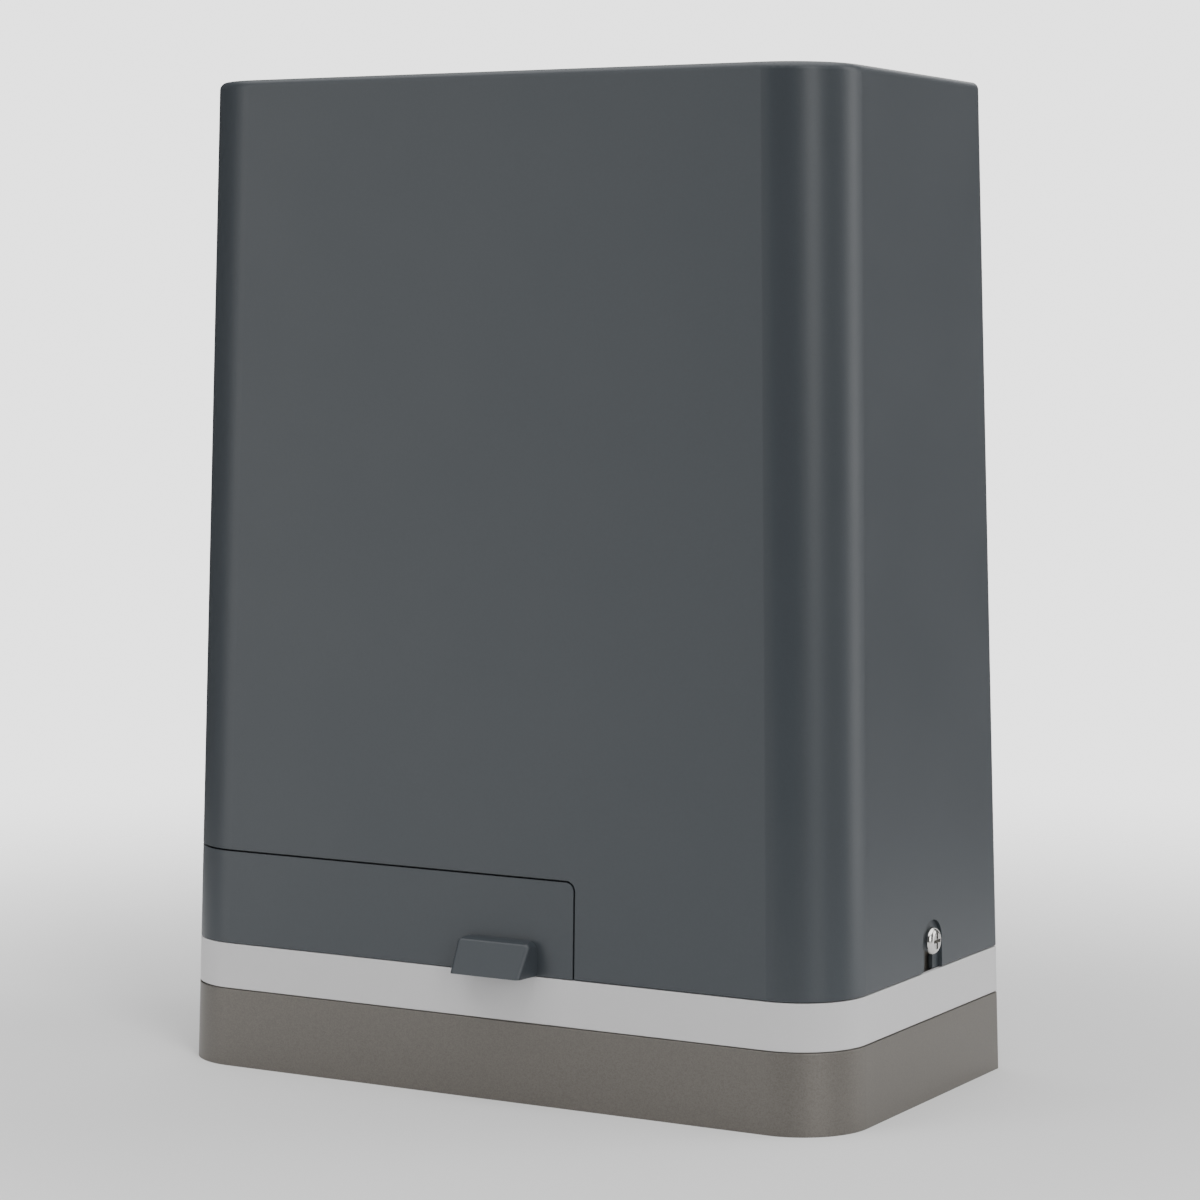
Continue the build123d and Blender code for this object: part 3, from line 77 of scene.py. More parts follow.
class Value:
    """A socket that takes part in arithmetic. Each operation adds its Math node."""

    def __init__(self, tree, socket):
        self.tree = tree
        self.socket = socket

    def math(self, operation, *terms):
        return self.tree.node("ShaderNodeMath", {"operation": operation}, dict(enumerate(terms)))

    def alone(self, operation):
        return self.math(operation, self)

    def output(self, name):
        return Value(self.tree, self.socket.node.outputs[name])

    def __add__(self, other):
        return self.math("ADD", self, other)

    def __radd__(self, other):
        return self.math("ADD", other, self)

    def __sub__(self, other):
        return self.math("SUBTRACT", self, other)

    def __rsub__(self, other):
        return self.math("SUBTRACT", other, self)

    def __mul__(self, other):
        return self.math("MULTIPLY", self, other)

    def __rmul__(self, other):
        return self.math("MULTIPLY", other, self)

    def __truediv__(self, other):
        return self.math("DIVIDE", self, other)

    def __rtruediv__(self, other):
        return self.math("DIVIDE", other, self)

    def larger(self, other):
        return self.math("MAXIMUM", self, other)

    def step(self, low, high):
        """0 below low, 1 above high and smooth between them."""
        settings = {"interpolation_type": "SMOOTHSTEP"}
        return self.tree.node("ShaderNodeMapRange", settings, {0: self, 1: low, 2: high})


class Tree:
    """A node tree, with one method that adds any node."""

    def __init__(self, data):
        self.data = data

    def node(self, kind, settings=None, inputs=None, output=0):
        made = self.data.nodes.new(kind)
        for name, value in (settings or {}).items():
            setattr(made, name, value)
        for key, value in (inputs or {}).items():
            self.feed(made.inputs[key], value)
        return Value(self, made.outputs[output]) if len(made.outputs) else made

    def feed(self, socket, value):
        if isinstance(value, Value):
            self.data.links.new(value.socket, socket)
        else:
            socket.default_value = value


def rgb(red, green, blue):
    return (red, green, blue, 1.0)


class Finish(Tree):
    """A procedural material on object coordinates."""

    def __init__(self, name, **constants):
        self.material = bpy.data.materials.new(name)
        self.material.use_nodes = True
        super().__init__(self.material.node_tree)
        self.surface = self.data.nodes["Principled BSDF"]
        for key, value in constants.items():
            self.surface.inputs[key.replace("_", " ")].default_value = value
        self.place = self.node("ShaderNodeTexCoord", output="Object")
        self.height = None

    def set(self, socket, value):
        self.feed(self.surface.inputs[socket], value)

    def axis(self, letter):
        return self.node("ShaderNodeSeparateXYZ", inputs={0: self.place}, output=letter)

    def noise(self, size, detail=2.0, stretch=(1, 1, 1), rough=0.5):
        """Noise from 0 to 1, its features about size across in metres, longer where stretch is above 1."""
        scale = [1.0 / (size * s) for s in stretch]
        vector = self.node("ShaderNodeVectorMath", {"operation": "MULTIPLY"}, {0: self.place, 1: scale})
        inputs = {"Vector": vector, "Scale": 1.0, "Detail": detail, "Roughness": rough}
        return self.node("ShaderNodeTexNoise", inputs=inputs)

    def cells(self, size):
        """A random value from 0 to 1 for each cell of about size across."""
        inputs = {"Vector": self.place, "Scale": 1.0 / size}
        colours = self.node("ShaderNodeTexVoronoi", inputs=inputs, output="Color")
        return self.node("ShaderNodeSeparateXYZ", inputs={0: colours}, output="X")

    def mix(self, factor, low, high):
        """A colour between low and high."""
        return self.node("ShaderNodeMix", {"data_type": "RGBA"}, {0: factor, 6: low, 7: high}, 2)

    def vary(self, colour, factor, share):
        """The colour made darker and lighter by share as factor goes from 0 to 1."""
        low = rgb(*(c * (1 - share) for c in colour))
        high = rgb(*(c * (1 + share) for c in colour))
        return self.mix(factor, low, high)

    def raise_by(self, height, depth):
        """Relief of the given depth in metres where height goes from 0 to 1."""
        inputs = {"Height": height, "Distance": depth, "Strength": 1.0}
        if self.height is not None:
            inputs["Normal"] = self.height
        self.height = self.node("ShaderNodeBump", inputs=inputs)
        self.set("Normal", self.height)


def moulded(name, colour, roughness, grain, depth, wave=0.0, tone=0.05):
    """Moulded plastic: fine spark grain, faint clouding of tone and gloss, and a slow wave of the wall."""
    finish = Finish(name)
    fine = finish.noise(grain, 3.0, rough=0.6)
    cloud = finish.noise(0.035, 3.0)
    speck = finish.noise(grain * 2.2, 2.0)
    finish.set("Base Color", finish.vary(colour, speck * 0.7 + cloud * 0.3, tone))
    finish.set("Roughness", cloud * 0.08 + speck * 0.05 + (roughness - 0.065))
    if wave:
        finish.raise_by(finish.noise(0.09, 1.0), wave)
    finish.raise_by(fine, depth)
    return finish.material


def painted_metal(name, colour, metallic, roughness, flake, depth, sparkle=0.25):
    """Metallic paint: small flakes that differ in tone and tilt under an even film."""
    finish = Finish(name, Coat_Roughness=0.35, Coat_Weight=0.12)
    tone = finish.cells(flake)
    cloud = finish.noise(0.05, 2.0)
    grain = finish.noise(flake * 1.6, 2.0)
    finish.set("Base Color", finish.vary(colour, tone * 0.6 + cloud * 0.15 + grain * 0.25, sparkle))
    finish.set("Metallic", metallic)
    finish.set("Roughness", tone * 0.12 + cloud * 0.06 + (roughness - 0.09))
    finish.raise_by(finish.noise(0.0022, 2.0), depth * 1.6)
    finish.raise_by(grain, depth)
    return finish.material


def cast_metal(name, colour, roughness=0.5, depth=0.00006):
    """Die-cast alloy: a sandy skin, flow clouds and darker stains."""
    finish = Finish(name, Metallic=0.9)
    skin = finish.noise(0.0009, 4.0, rough=0.65)
    flow = finish.noise(0.018, 3.0, stretch=(1, 1, 2.2))
    stain = finish.noise(0.045, 4.0).step(0.5, 0.75)
    tone = finish.vary(colour, skin * 0.4 + flow * 0.6, 0.16)
    dark = rgb(*(c * 0.55 for c in colour))
    finish.set("Base Color", finish.mix(stain * 0.35, tone, dark))
    finish.set("Roughness", skin * 0.16 + flow * 0.1 + stain * 0.08 + (roughness - 0.15))
    finish.raise_by(skin, depth)
    return finish.material


def turned_metal(name, colour, roughness, mark=0.00022, depth=0.000006):
    """Metal turned about an axis along Y: fine marks that run round it, with a faint oil film."""
    finish = Finish(name, Metallic=1.0)
    stretch = (40, 1, 40)
    marks = finish.noise(mark, 2.0, stretch=stretch)
    broad = finish.noise(mark * 9, 2.0, stretch=stretch)
    film = finish.noise(0.012, 3.0)
    finish.set("Base Color", finish.vary(colour, marks * 0.35 + broad * 0.35 + film * 0.3, 0.2))
    finish.set("Roughness", marks * 0.14 + film * 0.14 + (roughness - 0.14))
    finish.raise_by(marks, depth)
    return finish.material


def plated_steel(name, colour, roughness=0.4, tint=(0.6, 0.59, 0.54)):
    """Zinc-plated steel: small bright crystals, a passivation tint and dulled patches."""
    finish = Finish(name, Metallic=1.0)
    tone = finish.cells(0.0011)
    patch = finish.noise(0.008, 3.0)
    dull = finish.noise(0.003, 4.0).step(0.52, 0.7)
    plain = finish.vary(colour, tone * 0.4 + patch * 0.6, 0.07)
    finish.set("Base Color", finish.mix(patch.step(0.45, 0.75) * 0.3, plain, rgb(*tint)))
    finish.set("Roughness", patch * 0.1 + dull * 0.06 + tone * 0.03 + (roughness - 0.08))
    finish.raise_by(finish.noise(0.003, 2.0), 0.000002)
    return finish.material


def rubber(name, colour):
    """Dark rubber with a dusty bloom and a fine mould grain."""
    finish = Finish(name, Specular_IOR_Level=0.35)
    grain = finish.noise(0.0005, 3.0)
    bloom = finish.noise(0.012, 4.0).step(0.4, 0.8)
    dusty = rgb(*(c * 2.2 for c in colour))
    finish.set("Base Color", finish.mix(bloom * 0.4 + grain * 0.1, rgb(*colour), dusty))
    finish.set("Roughness", grain * 0.1 + bloom * 0.12 + 0.62)
    finish.raise_by(grain, 0.00002)
    return finish.material


def layered(name, colour, edge, axis, pitch, metallic, roughness):
    """Stacked sheets or turns of wire: one line every pitch along an axis, no two layers quite alike."""
    finish = Finish(name, Metallic=metallic)
    along = finish.axis(axis)
    phase = (along / pitch).alone("FRACT")
    crest = (phase - 0.5).alone("ABSOLUTE")
    layer = (along / pitch).alone("FLOOR")
    each = finish.node("ShaderNodeTexWhiteNoise", {"noise_dimensions": "1D"}, {"W": layer})
    cloud = finish.noise(0.01, 3.0)
    tone = finish.vary(colour, each * 0.5 + cloud * 0.5, 0.22)
    line = crest.step(0.36, 0.5)
    finish.set("Base Color", finish.mix(line, tone, rgb(*edge)))
    finish.set("Roughness", each * 0.12 + cloud * 0.12 + line * 0.15 + (roughness - 0.12))
    finish.raise_by(1.0 - line, pitch * 0.25)
    return finish.material


def board_mask(name):
    """Green solder mask over copper tracks that run square to the board's edges."""
    finish = Finish(name, Coat_Weight=0.35, Coat_Roughness=0.18)
    across = finish.axis("X")
    up = finish.axis("Z")

    def tracks(along, side, pitch, width, run, seed):
        lane = (side / pitch).alone("FLOOR")
        within = (side / pitch).alone("FRACT")
        piece = (along / run).alone("FLOOR")
        vector = finish.node("ShaderNodeCombineXYZ", inputs={0: lane, 1: piece, 2: seed})
        chance = finish.node("ShaderNodeTexWhiteNoise", {"noise_dimensions": "3D"}, {"Vector": vector})
        line = 1.0 - (within - 0.5).alone("ABSOLUTE").step(width * 0.5, width * 0.5 + 0.05)
        return line * chance.step(0.5, 0.52)

    upright = tracks(up, across, 0.0019, 0.36, 0.021, 1.0)
    level = tracks(across, up, 0.0021, 0.36, 0.026, 5.0)
    broad = tracks(up, across, 0.014, 0.5, 0.045, 9.0)
    copper = upright.larger(level).larger(broad)
    cloud = finish.noise(0.02, 3.0)
    mask = finish.vary((0.012, 0.095, 0.045), cloud, 0.15)
    finish.set("Base Color", finish.mix(copper, mask, rgb(0.03, 0.17, 0.075)))
    finish.set("Roughness", 0.34 - copper * 0.06 + cloud * 0.08)
    finish.raise_by(copper, 0.00003)
    return finish.material


def display_face(name):
    """Dark red filter window of a numeric display, with faint dust."""
    finish = Finish(name, Coat_Weight=0.6, Coat_Roughness=0.08)
    dust = finish.noise(0.0008, 3.0).step(0.55, 0.8)
    cloud = finish.noise(0.012, 2.0)
    window = finish.vary((0.05, 0.006, 0.006), cloud, 0.2)
    finish.set("Base Color", finish.mix(dust * 0.25, window, rgb(0.16, 0.1, 0.1)))
    finish.set("Roughness", dust * 0.25 + cloud * 0.05 + 0.2)
    finish.raise_by(finish.noise(0.004, 1.0), 0.00001)
    return finish.material


def enamelled_wire(name, colour):
    """Lacquered copper wire, darker where the lacquer is thick."""
    finish = Finish(name, Metallic=0.85, Coat_Weight=0.5, Coat_Roughness=0.2)
    drip = finish.noise(0.006, 3.0)
    fine = finish.noise(0.0007, 2.0)
    dark = rgb(colour[0] * 0.45, colour[1] * 0.35, colour[2] * 0.3)
    finish.set("Base Color", finish.mix(drip.step(0.5, 0.85) * 0.7, finish.vary(colour, fine, 0.14), dark))
    finish.set("Roughness", drip * 0.15 + fine * 0.08 + 0.2)
    finish.raise_by(fine, 0.00001)
    return finish.material


finishes = {
    "hood_plastic": moulded("hood_plastic_finish", (0.05, 0.0585, 0.067),
                            0.36, 0.00042, 0.00003, 0.00012, 0.08),
    "band_plastic": moulded("band_plastic_finish", (0.69, 0.685, 0.69),
                            0.46, 0.0004, 0.000012, 0.00005, 0.02),
    "base_paint": painted_metal("base_paint_finish", (0.17, 0.158, 0.142),
                                0.6, 0.46, 0.00034, 0.000012, 0.22),
    "cast_aluminium": cast_metal("cast_aluminium_finish", (0.56, 0.56, 0.57)),
    "zinc_steel": plated_steel("zinc_steel_finish", (0.62, 0.63, 0.65)),
    "bearing_steel": turned_metal("bearing_steel_finish", (0.6, 0.61, 0.63), 0.16),
    "shaft_steel": turned_metal("shaft_steel_finish", (0.5, 0.5, 0.52), 0.28),
    "pinion_steel": turned_metal("pinion_steel_finish", (0.46, 0.46, 0.48), 0.34, 0.0003, 0.00001),
    "wheel_bronze": turned_metal("wheel_bronze_finish", (0.6, 0.36, 0.13), 0.3),
    "black_rubber": rubber("black_rubber_finish", (0.018, 0.018, 0.019)),
    "motor_paint": painted_metal("motor_paint_finish", (0.03, 0.032, 0.036),
                                 0.2, 0.42, 0.0006, 0.00003, 0.12),
    "core_sheet": layered("core_sheet_finish", (0.3, 0.31, 0.34),
                          (0.04, 0.035, 0.03), "Z", 0.0005, 0.7, 0.45),
    "copper_coil": layered("copper_coil_finish", (0.42, 0.16, 0.07),
                           (0.06, 0.02, 0.012), "Z", 0.0007, 0.75, 0.35),
    "black_plastic": moulded("black_plastic_finish", (0.022, 0.022, 0.024),
                             0.5, 0.0005, 0.00002, 0.0, 0.08),
    "white_plastic": moulded("white_plastic_finish", (0.62, 0.61, 0.57),
                             0.4, 0.0006, 0.00001, 0.0, 0.03),
    "knob_plastic": moulded("knob_plastic_finish", (0.55, 0.1, 0.015),
                            0.42, 0.0005, 0.00002, 0.0, 0.05),
    "board_green": board_mask("board_green_finish"),
    "terminal_plastic": moulded("terminal_plastic_finish", (0.03, 0.16, 0.07),
                                0.42, 0.0006, 0.000012, 0.0, 0.05),
    "relay_plastic": moulded("relay_plastic_finish", (0.02, 0.075, 0.24),
                             0.34, 0.0008, 0.000008, 0.0, 0.05),
    "capacitor_sleeve": moulded("capacitor_sleeve_finish", (0.012, 0.014, 0.03),
                                0.26, 0.0009, 0.000006, 0.0, 0.05),
    "display_face": display_face("display_face_finish"),
}
nickel = plated_steel("bright_nickel_finish", (0.78, 0.77, 0.75), 0.2, (0.7, 0.66, 0.58))
solder = plated_steel("solder_finish", (0.66, 0.67, 0.68), 0.3, (0.5, 0.5, 0.5))
ceramic_brown = moulded("ceramic_brown_finish", (0.3, 0.2, 0.11), 0.4, 0.0003, 0.000004, 0.0, 0.08)
chip_black = moulded("chip_black_finish", (0.018, 0.018, 0.02), 0.48, 0.00025, 0.000006, 0.0, 0.1)
lamp_amber = moulded("lamp_amber_finish", (0.55, 0.23, 0.03), 0.22, 0.0006, 0.000002, 0.0, 0.05)
segment_pale = moulded("segment_pale_finish", (0.2, 0.13, 0.125), 0.3, 0.0005, 0.000002, 0.0, 0.06)
wire_copper = enamelled_wire("wire_copper_finish", (0.62, 0.24, 0.1))
coil_tape = moulded("coil_tape_finish", (0.5, 0.36, 0.06), 0.38, 0.0004, 0.000008, 0.0, 0.08)
own_finish = {"hood_screws": nickel}

for name, piece in nodes.items():
    for place in piece.material_slots:
        slot_name = place.material.name
        place.material = own_finish.get(name) or finishes[slot_name]


def new_tree(name, inputs):
    """A Geometry Nodes tree with named inputs, given as name: (socket type, value)."""
    data = bpy.data.node_groups.new(name, "GeometryNodeTree")
    face = data.interface
    face.new_socket("Geometry", in_out="INPUT", socket_type="NodeSocketGeometry")
    for label, kind in inputs.items():
        face.new_socket(label, in_out="INPUT", socket_type=kind)
    face.new_socket("Geometry", in_out="OUTPUT", socket_type="NodeSocketGeometry")
    tree = Tree(data)
    start = data.nodes.new("NodeGroupInput")
    given = {socket.name: Value(tree, socket) for socket in start.outputs if socket.name}
    return tree, given


def close_tree(tree, geometry, material_input):
    """Ends the tree in Realize Instances and Set Material."""
    real = tree.node("GeometryNodeRealizeInstances", inputs={0: geometry})
    skinned = tree.node("GeometryNodeSetMaterial", inputs={"Geometry": real, "Material": material_input})
    finish = tree.data.nodes.new("NodeGroupOutput")
    tree.feed(finish.inputs[0], skinned)


def grow(name, points, tree, values, attributes=None):
    """Runs a tree on a mesh of points and returns its result as a plain mesh object."""
    mesh = bpy.data.meshes.new(name + "_points")
    mesh.from_pydata([Vector(p) * MM for p in points], [], [])
    for label, rows in (attributes or {}).items():
        made = mesh.attributes.new(label, "FLOAT_VECTOR", "POINT")
        made.data.foreach_set("vector", [v for row in rows for v in row])
    source = bpy.data.objects.new(name + "_source", mesh)
    bpy.context.scene.collection.objects.link(source)
    modifier = source.modifiers.new("grow", "NODES")
    modifier.node_group = tree.data
    for item in tree.data.interface.items_tree:
        if item.in_out == "INPUT" and item.name in values:
            modifier[item.identifier] = values[item.name]
    bpy.context.view_layer.update()
    depsgraph = bpy.context.evaluated_depsgraph_get()
    result = bpy.data.meshes.new_from_object(source.evaluated_get(depsgraph))
    result.name = name
    piece = bpy.data.objects.new(name, result)
    bpy.context.scene.collection.objects.link(piece)
    bpy.data.objects.remove(source)
    return piece


def finish_piece(piece, bevel=0.0, smooth=True):
    """Rounds a piece's edges, shades it and hands it to the fixed body."""
    if bevel:
        edge = piece.modifiers.new("edge", "BEVEL")
        edge.width = bevel * MM
        edge.segments = 2
        edge.limit_method = "ANGLE"
        depsgraph = bpy.context.evaluated_depsgraph_get()
        rounded = bpy.data.meshes.new_from_object(piece.evaluated_get(depsgraph))
        piece.modifiers.clear()
        piece.data = rounded
        rounded.name = piece.name
    if smooth:
        piece.data.shade_smooth()
        piece.data.set_sharp_from_angle(angle=math.radians(40))
    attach(piece, "root")
    return piece


def block_tree():
    """Blocks of a size given at each point."""
    tree, given = new_tree("blocks", {"Material": "NodeSocketMaterial"})
    size = tree.node("GeometryNodeInputNamedAttribute", {"data_type": "FLOAT_VECTOR"},
                     {"Name": "block_size"})
    cube = tree.node("GeometryNodeMeshCube", inputs={"Size": (1, 1, 1)})
    placed = tree.node("GeometryNodeInstanceOnPoints",
                       inputs={"Points": given["Geometry"], "Instance": cube, "Scale": size})
    close_tree(tree, placed, given["Material"])
    return tree


def peg_tree():
    """Round pegs along Y with a domed front end."""
    inputs = {"Radius": "NodeSocketFloat", "Length": "NodeSocketFloat", "Dome": "NodeSocketFloat",
              "Sides": "NodeSocketInt", "Material": "NodeSocketMaterial"}
    tree, given = new_tree("pegs", inputs)
    rod = tree.node("GeometryNodeMeshCylinder",
                    inputs={"Vertices": given["Sides"], "Radius": given["Radius"],
                            "Depth": given["Length"]})
    ball = tree.node("GeometryNodeMeshUVSphere",
                     inputs={"Segments": given["Sides"], "Rings": 6, "Radius": given["Radius"]})
    flat = tree.node("ShaderNodeCombineXYZ", inputs={0: 1.0, 1: 1.0, 2: given["Dome"]})
    lift = tree.node("ShaderNodeCombineXYZ", inputs={2: given["Length"] * 0.5})
    dome = tree.node("GeometryNodeTransform", inputs={"Geometry": ball, "Scale": flat, "Translation": lift})
    both = tree.node("GeometryNodeJoinGeometry")
    for part in (rod, dome):
        tree.data.links.new(part.socket, both.socket.node.inputs[0])
    turned = tree.node("GeometryNodeTransform", inputs={"Geometry": both, "Rotation": (math.pi / 2, 0, 0)})
    placed = tree.node("GeometryNodeInstanceOnPoints",
                       inputs={"Points": given["Geometry"], "Instance": turned})
    close_tree(tree, placed, given["Material"])
    return tree


def winding_tree():
    """Turns of wire with rounded corners, stacked along Z."""
    inputs = {"Turns": "NodeSocketInt", "Pitch": "NodeSocketFloat", "Width": "NodeSocketFloat",
              "Depth": "NodeSocketFloat", "Corner": "NodeSocketFloat", "Wire": "NodeSocketFloat",
              "Material": "NodeSocketMaterial"}
    tree, given = new_tree("winding", inputs)
    frame_line = tree.node("GeometryNodeCurvePrimitiveQuadrilateral",
                           inputs={"Width": given["Width"], "Height": given["Depth"]})
    turn = tree.node("GeometryNodeFilletCurve", {"mode": "POLY"},
                     {"Curve": frame_line, "Count": 5, "Radius": given["Corner"]})
    ring = tree.node("GeometryNodeCurvePrimitiveCircle", inputs={"Resolution": 8, "Radius": given["Wire"]})
    wire = tree.node("GeometryNodeCurveToMesh", inputs={"Curve": turn, "Profile Curve": ring})
    step = tree.node("ShaderNodeCombineXYZ", inputs={2: given["Pitch"]})
    line = tree.node("GeometryNodeMeshLine", inputs={"Count": given["Turns"], "Offset": step})
    stacked = tree.node("GeometryNodeInstanceOnPoints", inputs={"Points": line, "Instance": wire})
    placed = tree.node("GeometryNodeInstanceOnPoints",
                       inputs={"Points": given["Geometry"], "Instance": stacked})
    close_tree(tree, placed, given["Material"])
    return tree


blocks = block_tree()
pegs = peg_tree()
winding = winding_tree()


def block_piece(name, rows, material, bevel=0.0):
    """Blocks given as (x, y, z, width, depth, height) in millimetres about their middles."""
    sizes = [[v * MM for v in row[3:]] for row in rows]
    piece = grow(name, [row[:3] for row in rows], blocks, {"Material": material}, {"block_size": sizes})
    return finish_piece(piece, bevel, smooth=False)


def peg_piece(name, points, radius, length, dome, material, sides):
    """Round pegs at points on the board, their sizes in millimetres."""
    values = {"Radius": radius * MM, "Length": length * MM, "Dome": dome, "Sides": sides,
              "Material": material}
    return finish_piece(grow(name, points, pegs, values))


# Circuit board parts, on the front face of the board
board_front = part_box("circuit_board")[0].y / MM


def on_board(x, z, width, height, depth, lift=0.0):
    """A block that stands on the board's front face."""
    return (x, board_front - lift - depth / 2, z, width, depth, height)


draw = random.Random(7)
filled_share = 0.58
upright_share = 0.35
row_closeness = 0.72
part_clearance = 2.0
end_share = 0.18
end_rise = 1.04
part_sizes = ((2.0, 1.25, 0.55), (1.6, 0.8, 0.45), (3.2, 1.6, 0.6))
small_parts = []
small_ends = []
small_fields = [
    # left, right, low, high, step
    (-98, -44, 180, 252, 6.2),
    (-40, 24, 214, 228, 5.6),
    (2, 24, 178, 206, 5.4),
    (36, 98, 176, 186, 5.2),
    (36, 98, 206, 220, 5.8),
    (34, 98, 258, 304, 6.6),
    (-50, -16, 262, 304, 6.4),
]
keep_clear = [
    # x, z, half width, half height of larger parts
    (-72, 214, 11, 18), (6, 252, 13, 13), (62, 196, 8, 5),
    (66, 282, 13, 10), (-32, 284, 8, 7), (88, 286, 7, 12),
]


def near_larger_part(x, z):
    return any(abs(x - a) < w + part_clearance and abs(z - b) < h + part_clearance
               for a, b, w, h in keep_clear)


for left, right, low, high, step in small_fields:
    row_step = step * row_closeness
    for i in range(int((right - left) / step)):
        for k in range(int((high - low) / row_step)):
            x = left + (i + 0.5) * step + draw.uniform(-0.5, 0.5)
            z = low + (k + 0.5) * row_step + draw.uniform(-0.35, 0.35)
            long, short, thick = draw.choice(part_sizes)
            upright = draw.random() < upright_share
            if draw.random() > filled_share or near_larger_part(x, z):
                continue
            end = long * end_share
            middle = long - 2 * end
            small_parts.append(on_board(x, z, *((short, middle) if upright else (middle, short)), thick))
            for side in (-1, 1):
                away = side * (long - end) / 2
                if upright:
                    small_ends.append(on_board(x, z + away, short, end, thick * end_rise))
                else:
                    small_ends.append(on_board(x + away, z, end, short, thick * end_rise))
block_piece("board_resistors", small_parts[1::2], chip_black, 0.06)
block_piece("board_ceramics", small_parts[::2], ceramic_brown, 0.06)
block_piece("board_solder_ends", small_ends, solder, 0.05)

chips = [
    # x, z, width, height, legs a side, pitch, legs on all four sides
    (6, 252, 12, 12, 12, 0.8, True),
    (62, 196, 10, 4, 8, 1.27, False),
    (66, 282, 17, 7.6, 14, 1.27, False),
    (-32, 284, 5, 4, 4, 1.27, False),
]
chip_rise, chip_lift = 1.5, 0.12
leg_width = 0.4
leg_steps = [
    # reach past the chip's edge, length, rise above the board
    (0.45, 1.1, 0.25),
    (0.06, 0.34, 0.8),
]
chip_bodies = []
chip_legs = []
for x, z, width, height, count, pitch, square in chips:
    chip_bodies.append(on_board(x, z, width, height, chip_rise, chip_lift))
    for k in range(count):
        along = (k - (count - 1) / 2) * pitch
        for side in (-1, 1):
            for past, length, rise in leg_steps:
                away = side * (height / 2 + past)
                chip_legs.append(on_board(x + along, z + away, leg_width, length, rise))
                if square:
                    away = side * (width / 2 + past)
                    chip_legs.append(on_board(x + away, z + along, length, leg_width, rise))
block_piece("board_chips", chip_bodies, chip_black, 0.15)
block_piece("board_chip_legs", chip_legs, solder)

fuse_x, fuse_z = -72.0, 214.0
clip_offset, clip_length, clip_thickness = 9.0, 5.0, 0.5
fuse_clips = []
for side in (-1, 1):
    z = fuse_z + side * clip_offset
    fuse_clips.append(on_board(fuse_x, z, 7.4, clip_length, clip_thickness))
    for edge in (-1, 1):
        fuse_clips.append(on_board(fuse_x + edge * 3.1, z, clip_thickness, clip_length, 5.6))
block_piece("fuse_clips", fuse_clips, finishes["zinc_steel"], 0.12)
fuse_tube = [on_board(fuse_x, fuse_z, 5.2, 16.0, 5.2, 0.5)]
fuse_caps = [on_board(fuse_x, fuse_z + side * 8.6, 5.6, 5.6, 5.6, 0.3) for side in (-1, 1)]
block_piece("fuse_tube", fuse_tube, finishes["white_plastic"], 2.2)
block_piece("fuse_caps", fuse_caps, nickel, 1.9)

crystal = on_board(88, 286, 4.4, 10.6, 3.4)
block_piece("board_crystal", [crystal], solder, 1.1)
receiver_x, receiver_z = -6.0, 290.0
receiver_pins, pin_pitch = 9, 2.54
socket_block = on_board(receiver_x, receiver_z, 4.2, 24.0, 5.4)
block_piece("receiver_socket", [socket_block], finishes["black_plastic"], 0.25)
pins = [(receiver_x, board_front - 5.5, receiver_z + (k - (receiver_pins - 1) / 2) * pin_pitch)
        for k in range(receiver_pins)]
peg_piece("receiver_contacts", pins, 0.5, 0.6, 0.4, solder, 10)
lamps_z = 171.4
lamps = [(x, board_front - 1.0, lamps_z) for x in (*range(-88, -55, 8), *range(46, 79, 8))]
peg_piece("signal_lamps", lamps, 1.0, 2.0, 0.9, lamp_amber, 14)
trimmer_x, trimmer_z = (8.0, 17.0), 180.0
trimmers = [on_board(x, trimmer_z, 6.2, 6.2, 4.2) for x in trimmer_x]
block_piece("trimmer_bodies", trimmers, finishes["relay_plastic"], 0.3)
trimmer_slots = [(x, board_front - 4.3, trimmer_z) for x in trimmer_x]
peg_piece("trimmer_screws", trimmer_slots, 1.7, 0.7, 0.15, nickel, 20)
terminal_solder_z, relay_solder_z = 155.6, 223.4
relay_x, relay_pin_offset = (40, 62, 84), 6
solder_rows = [(x, board_front - 0.05, terminal_solder_z) for x in range(-90, 84, 5)]
solder_rows += [(x + side * relay_pin_offset, board_front - 0.05, relay_solder_z)
                for x in relay_x for side in (-1, 0, 1)]
peg_piece("solder_points", solder_rows, 0.85, 0.2, 0.6, solder, 12)

# Display segments: unlit bars of three digits behind the window
window_low, window_high = (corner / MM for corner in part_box("board_display"))
window_middle = (window_low + window_high) / 2
digits = 3
digit_pitch = (window_high.x - window_low.x) / digits
digit_half, digit_half_height = 2.1, 4.6
bar_width, bar_rise = 0.75, 0.06
bar_gap = 0.6
bar_face = window_low.y - 0.02
segments = []
for k in range(digits):
    middle = window_low.x + digit_pitch * (k + 0.5)
    for row in (-1, 0, 1):
        z = window_middle.z + row * digit_half_height
        segments.append((middle, bar_face, z, 2 * digit_half - bar_gap, bar_rise, bar_width))
    for column in (-1, 1):
        for row in (-1, 1):
            x = middle + column * digit_half
            z = window_middle.z + row * digit_half_height / 2
            segments.append((x, bar_face, z, bar_width, bar_rise, digit_half_height - 1.5 * bar_gap))
block_piece("display_segments", segments, segment_pale)

# Transformer winding: a bobbin with two cheeks, turns of lacquered wire and a band of tape
coil_low, coil_high = (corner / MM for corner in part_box("transformer_coil"))
core_low, core_high = (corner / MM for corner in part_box("transformer_core"))
coil_size = coil_high - coil_low
coil_middle = (coil_low + coil_high) / 2
wire_radius = 0.32
wire_inset = 0.9
limb_width = 14.0
cheek = 1.6
wall = 1.0
turn_pitch = 2 * wire_radius * 1.01
turns = int((coil_size.z - 2 * cheek) / turn_pitch)
limb_half = (limb_width / 2, (core_high.y - core_low.y) / 2)


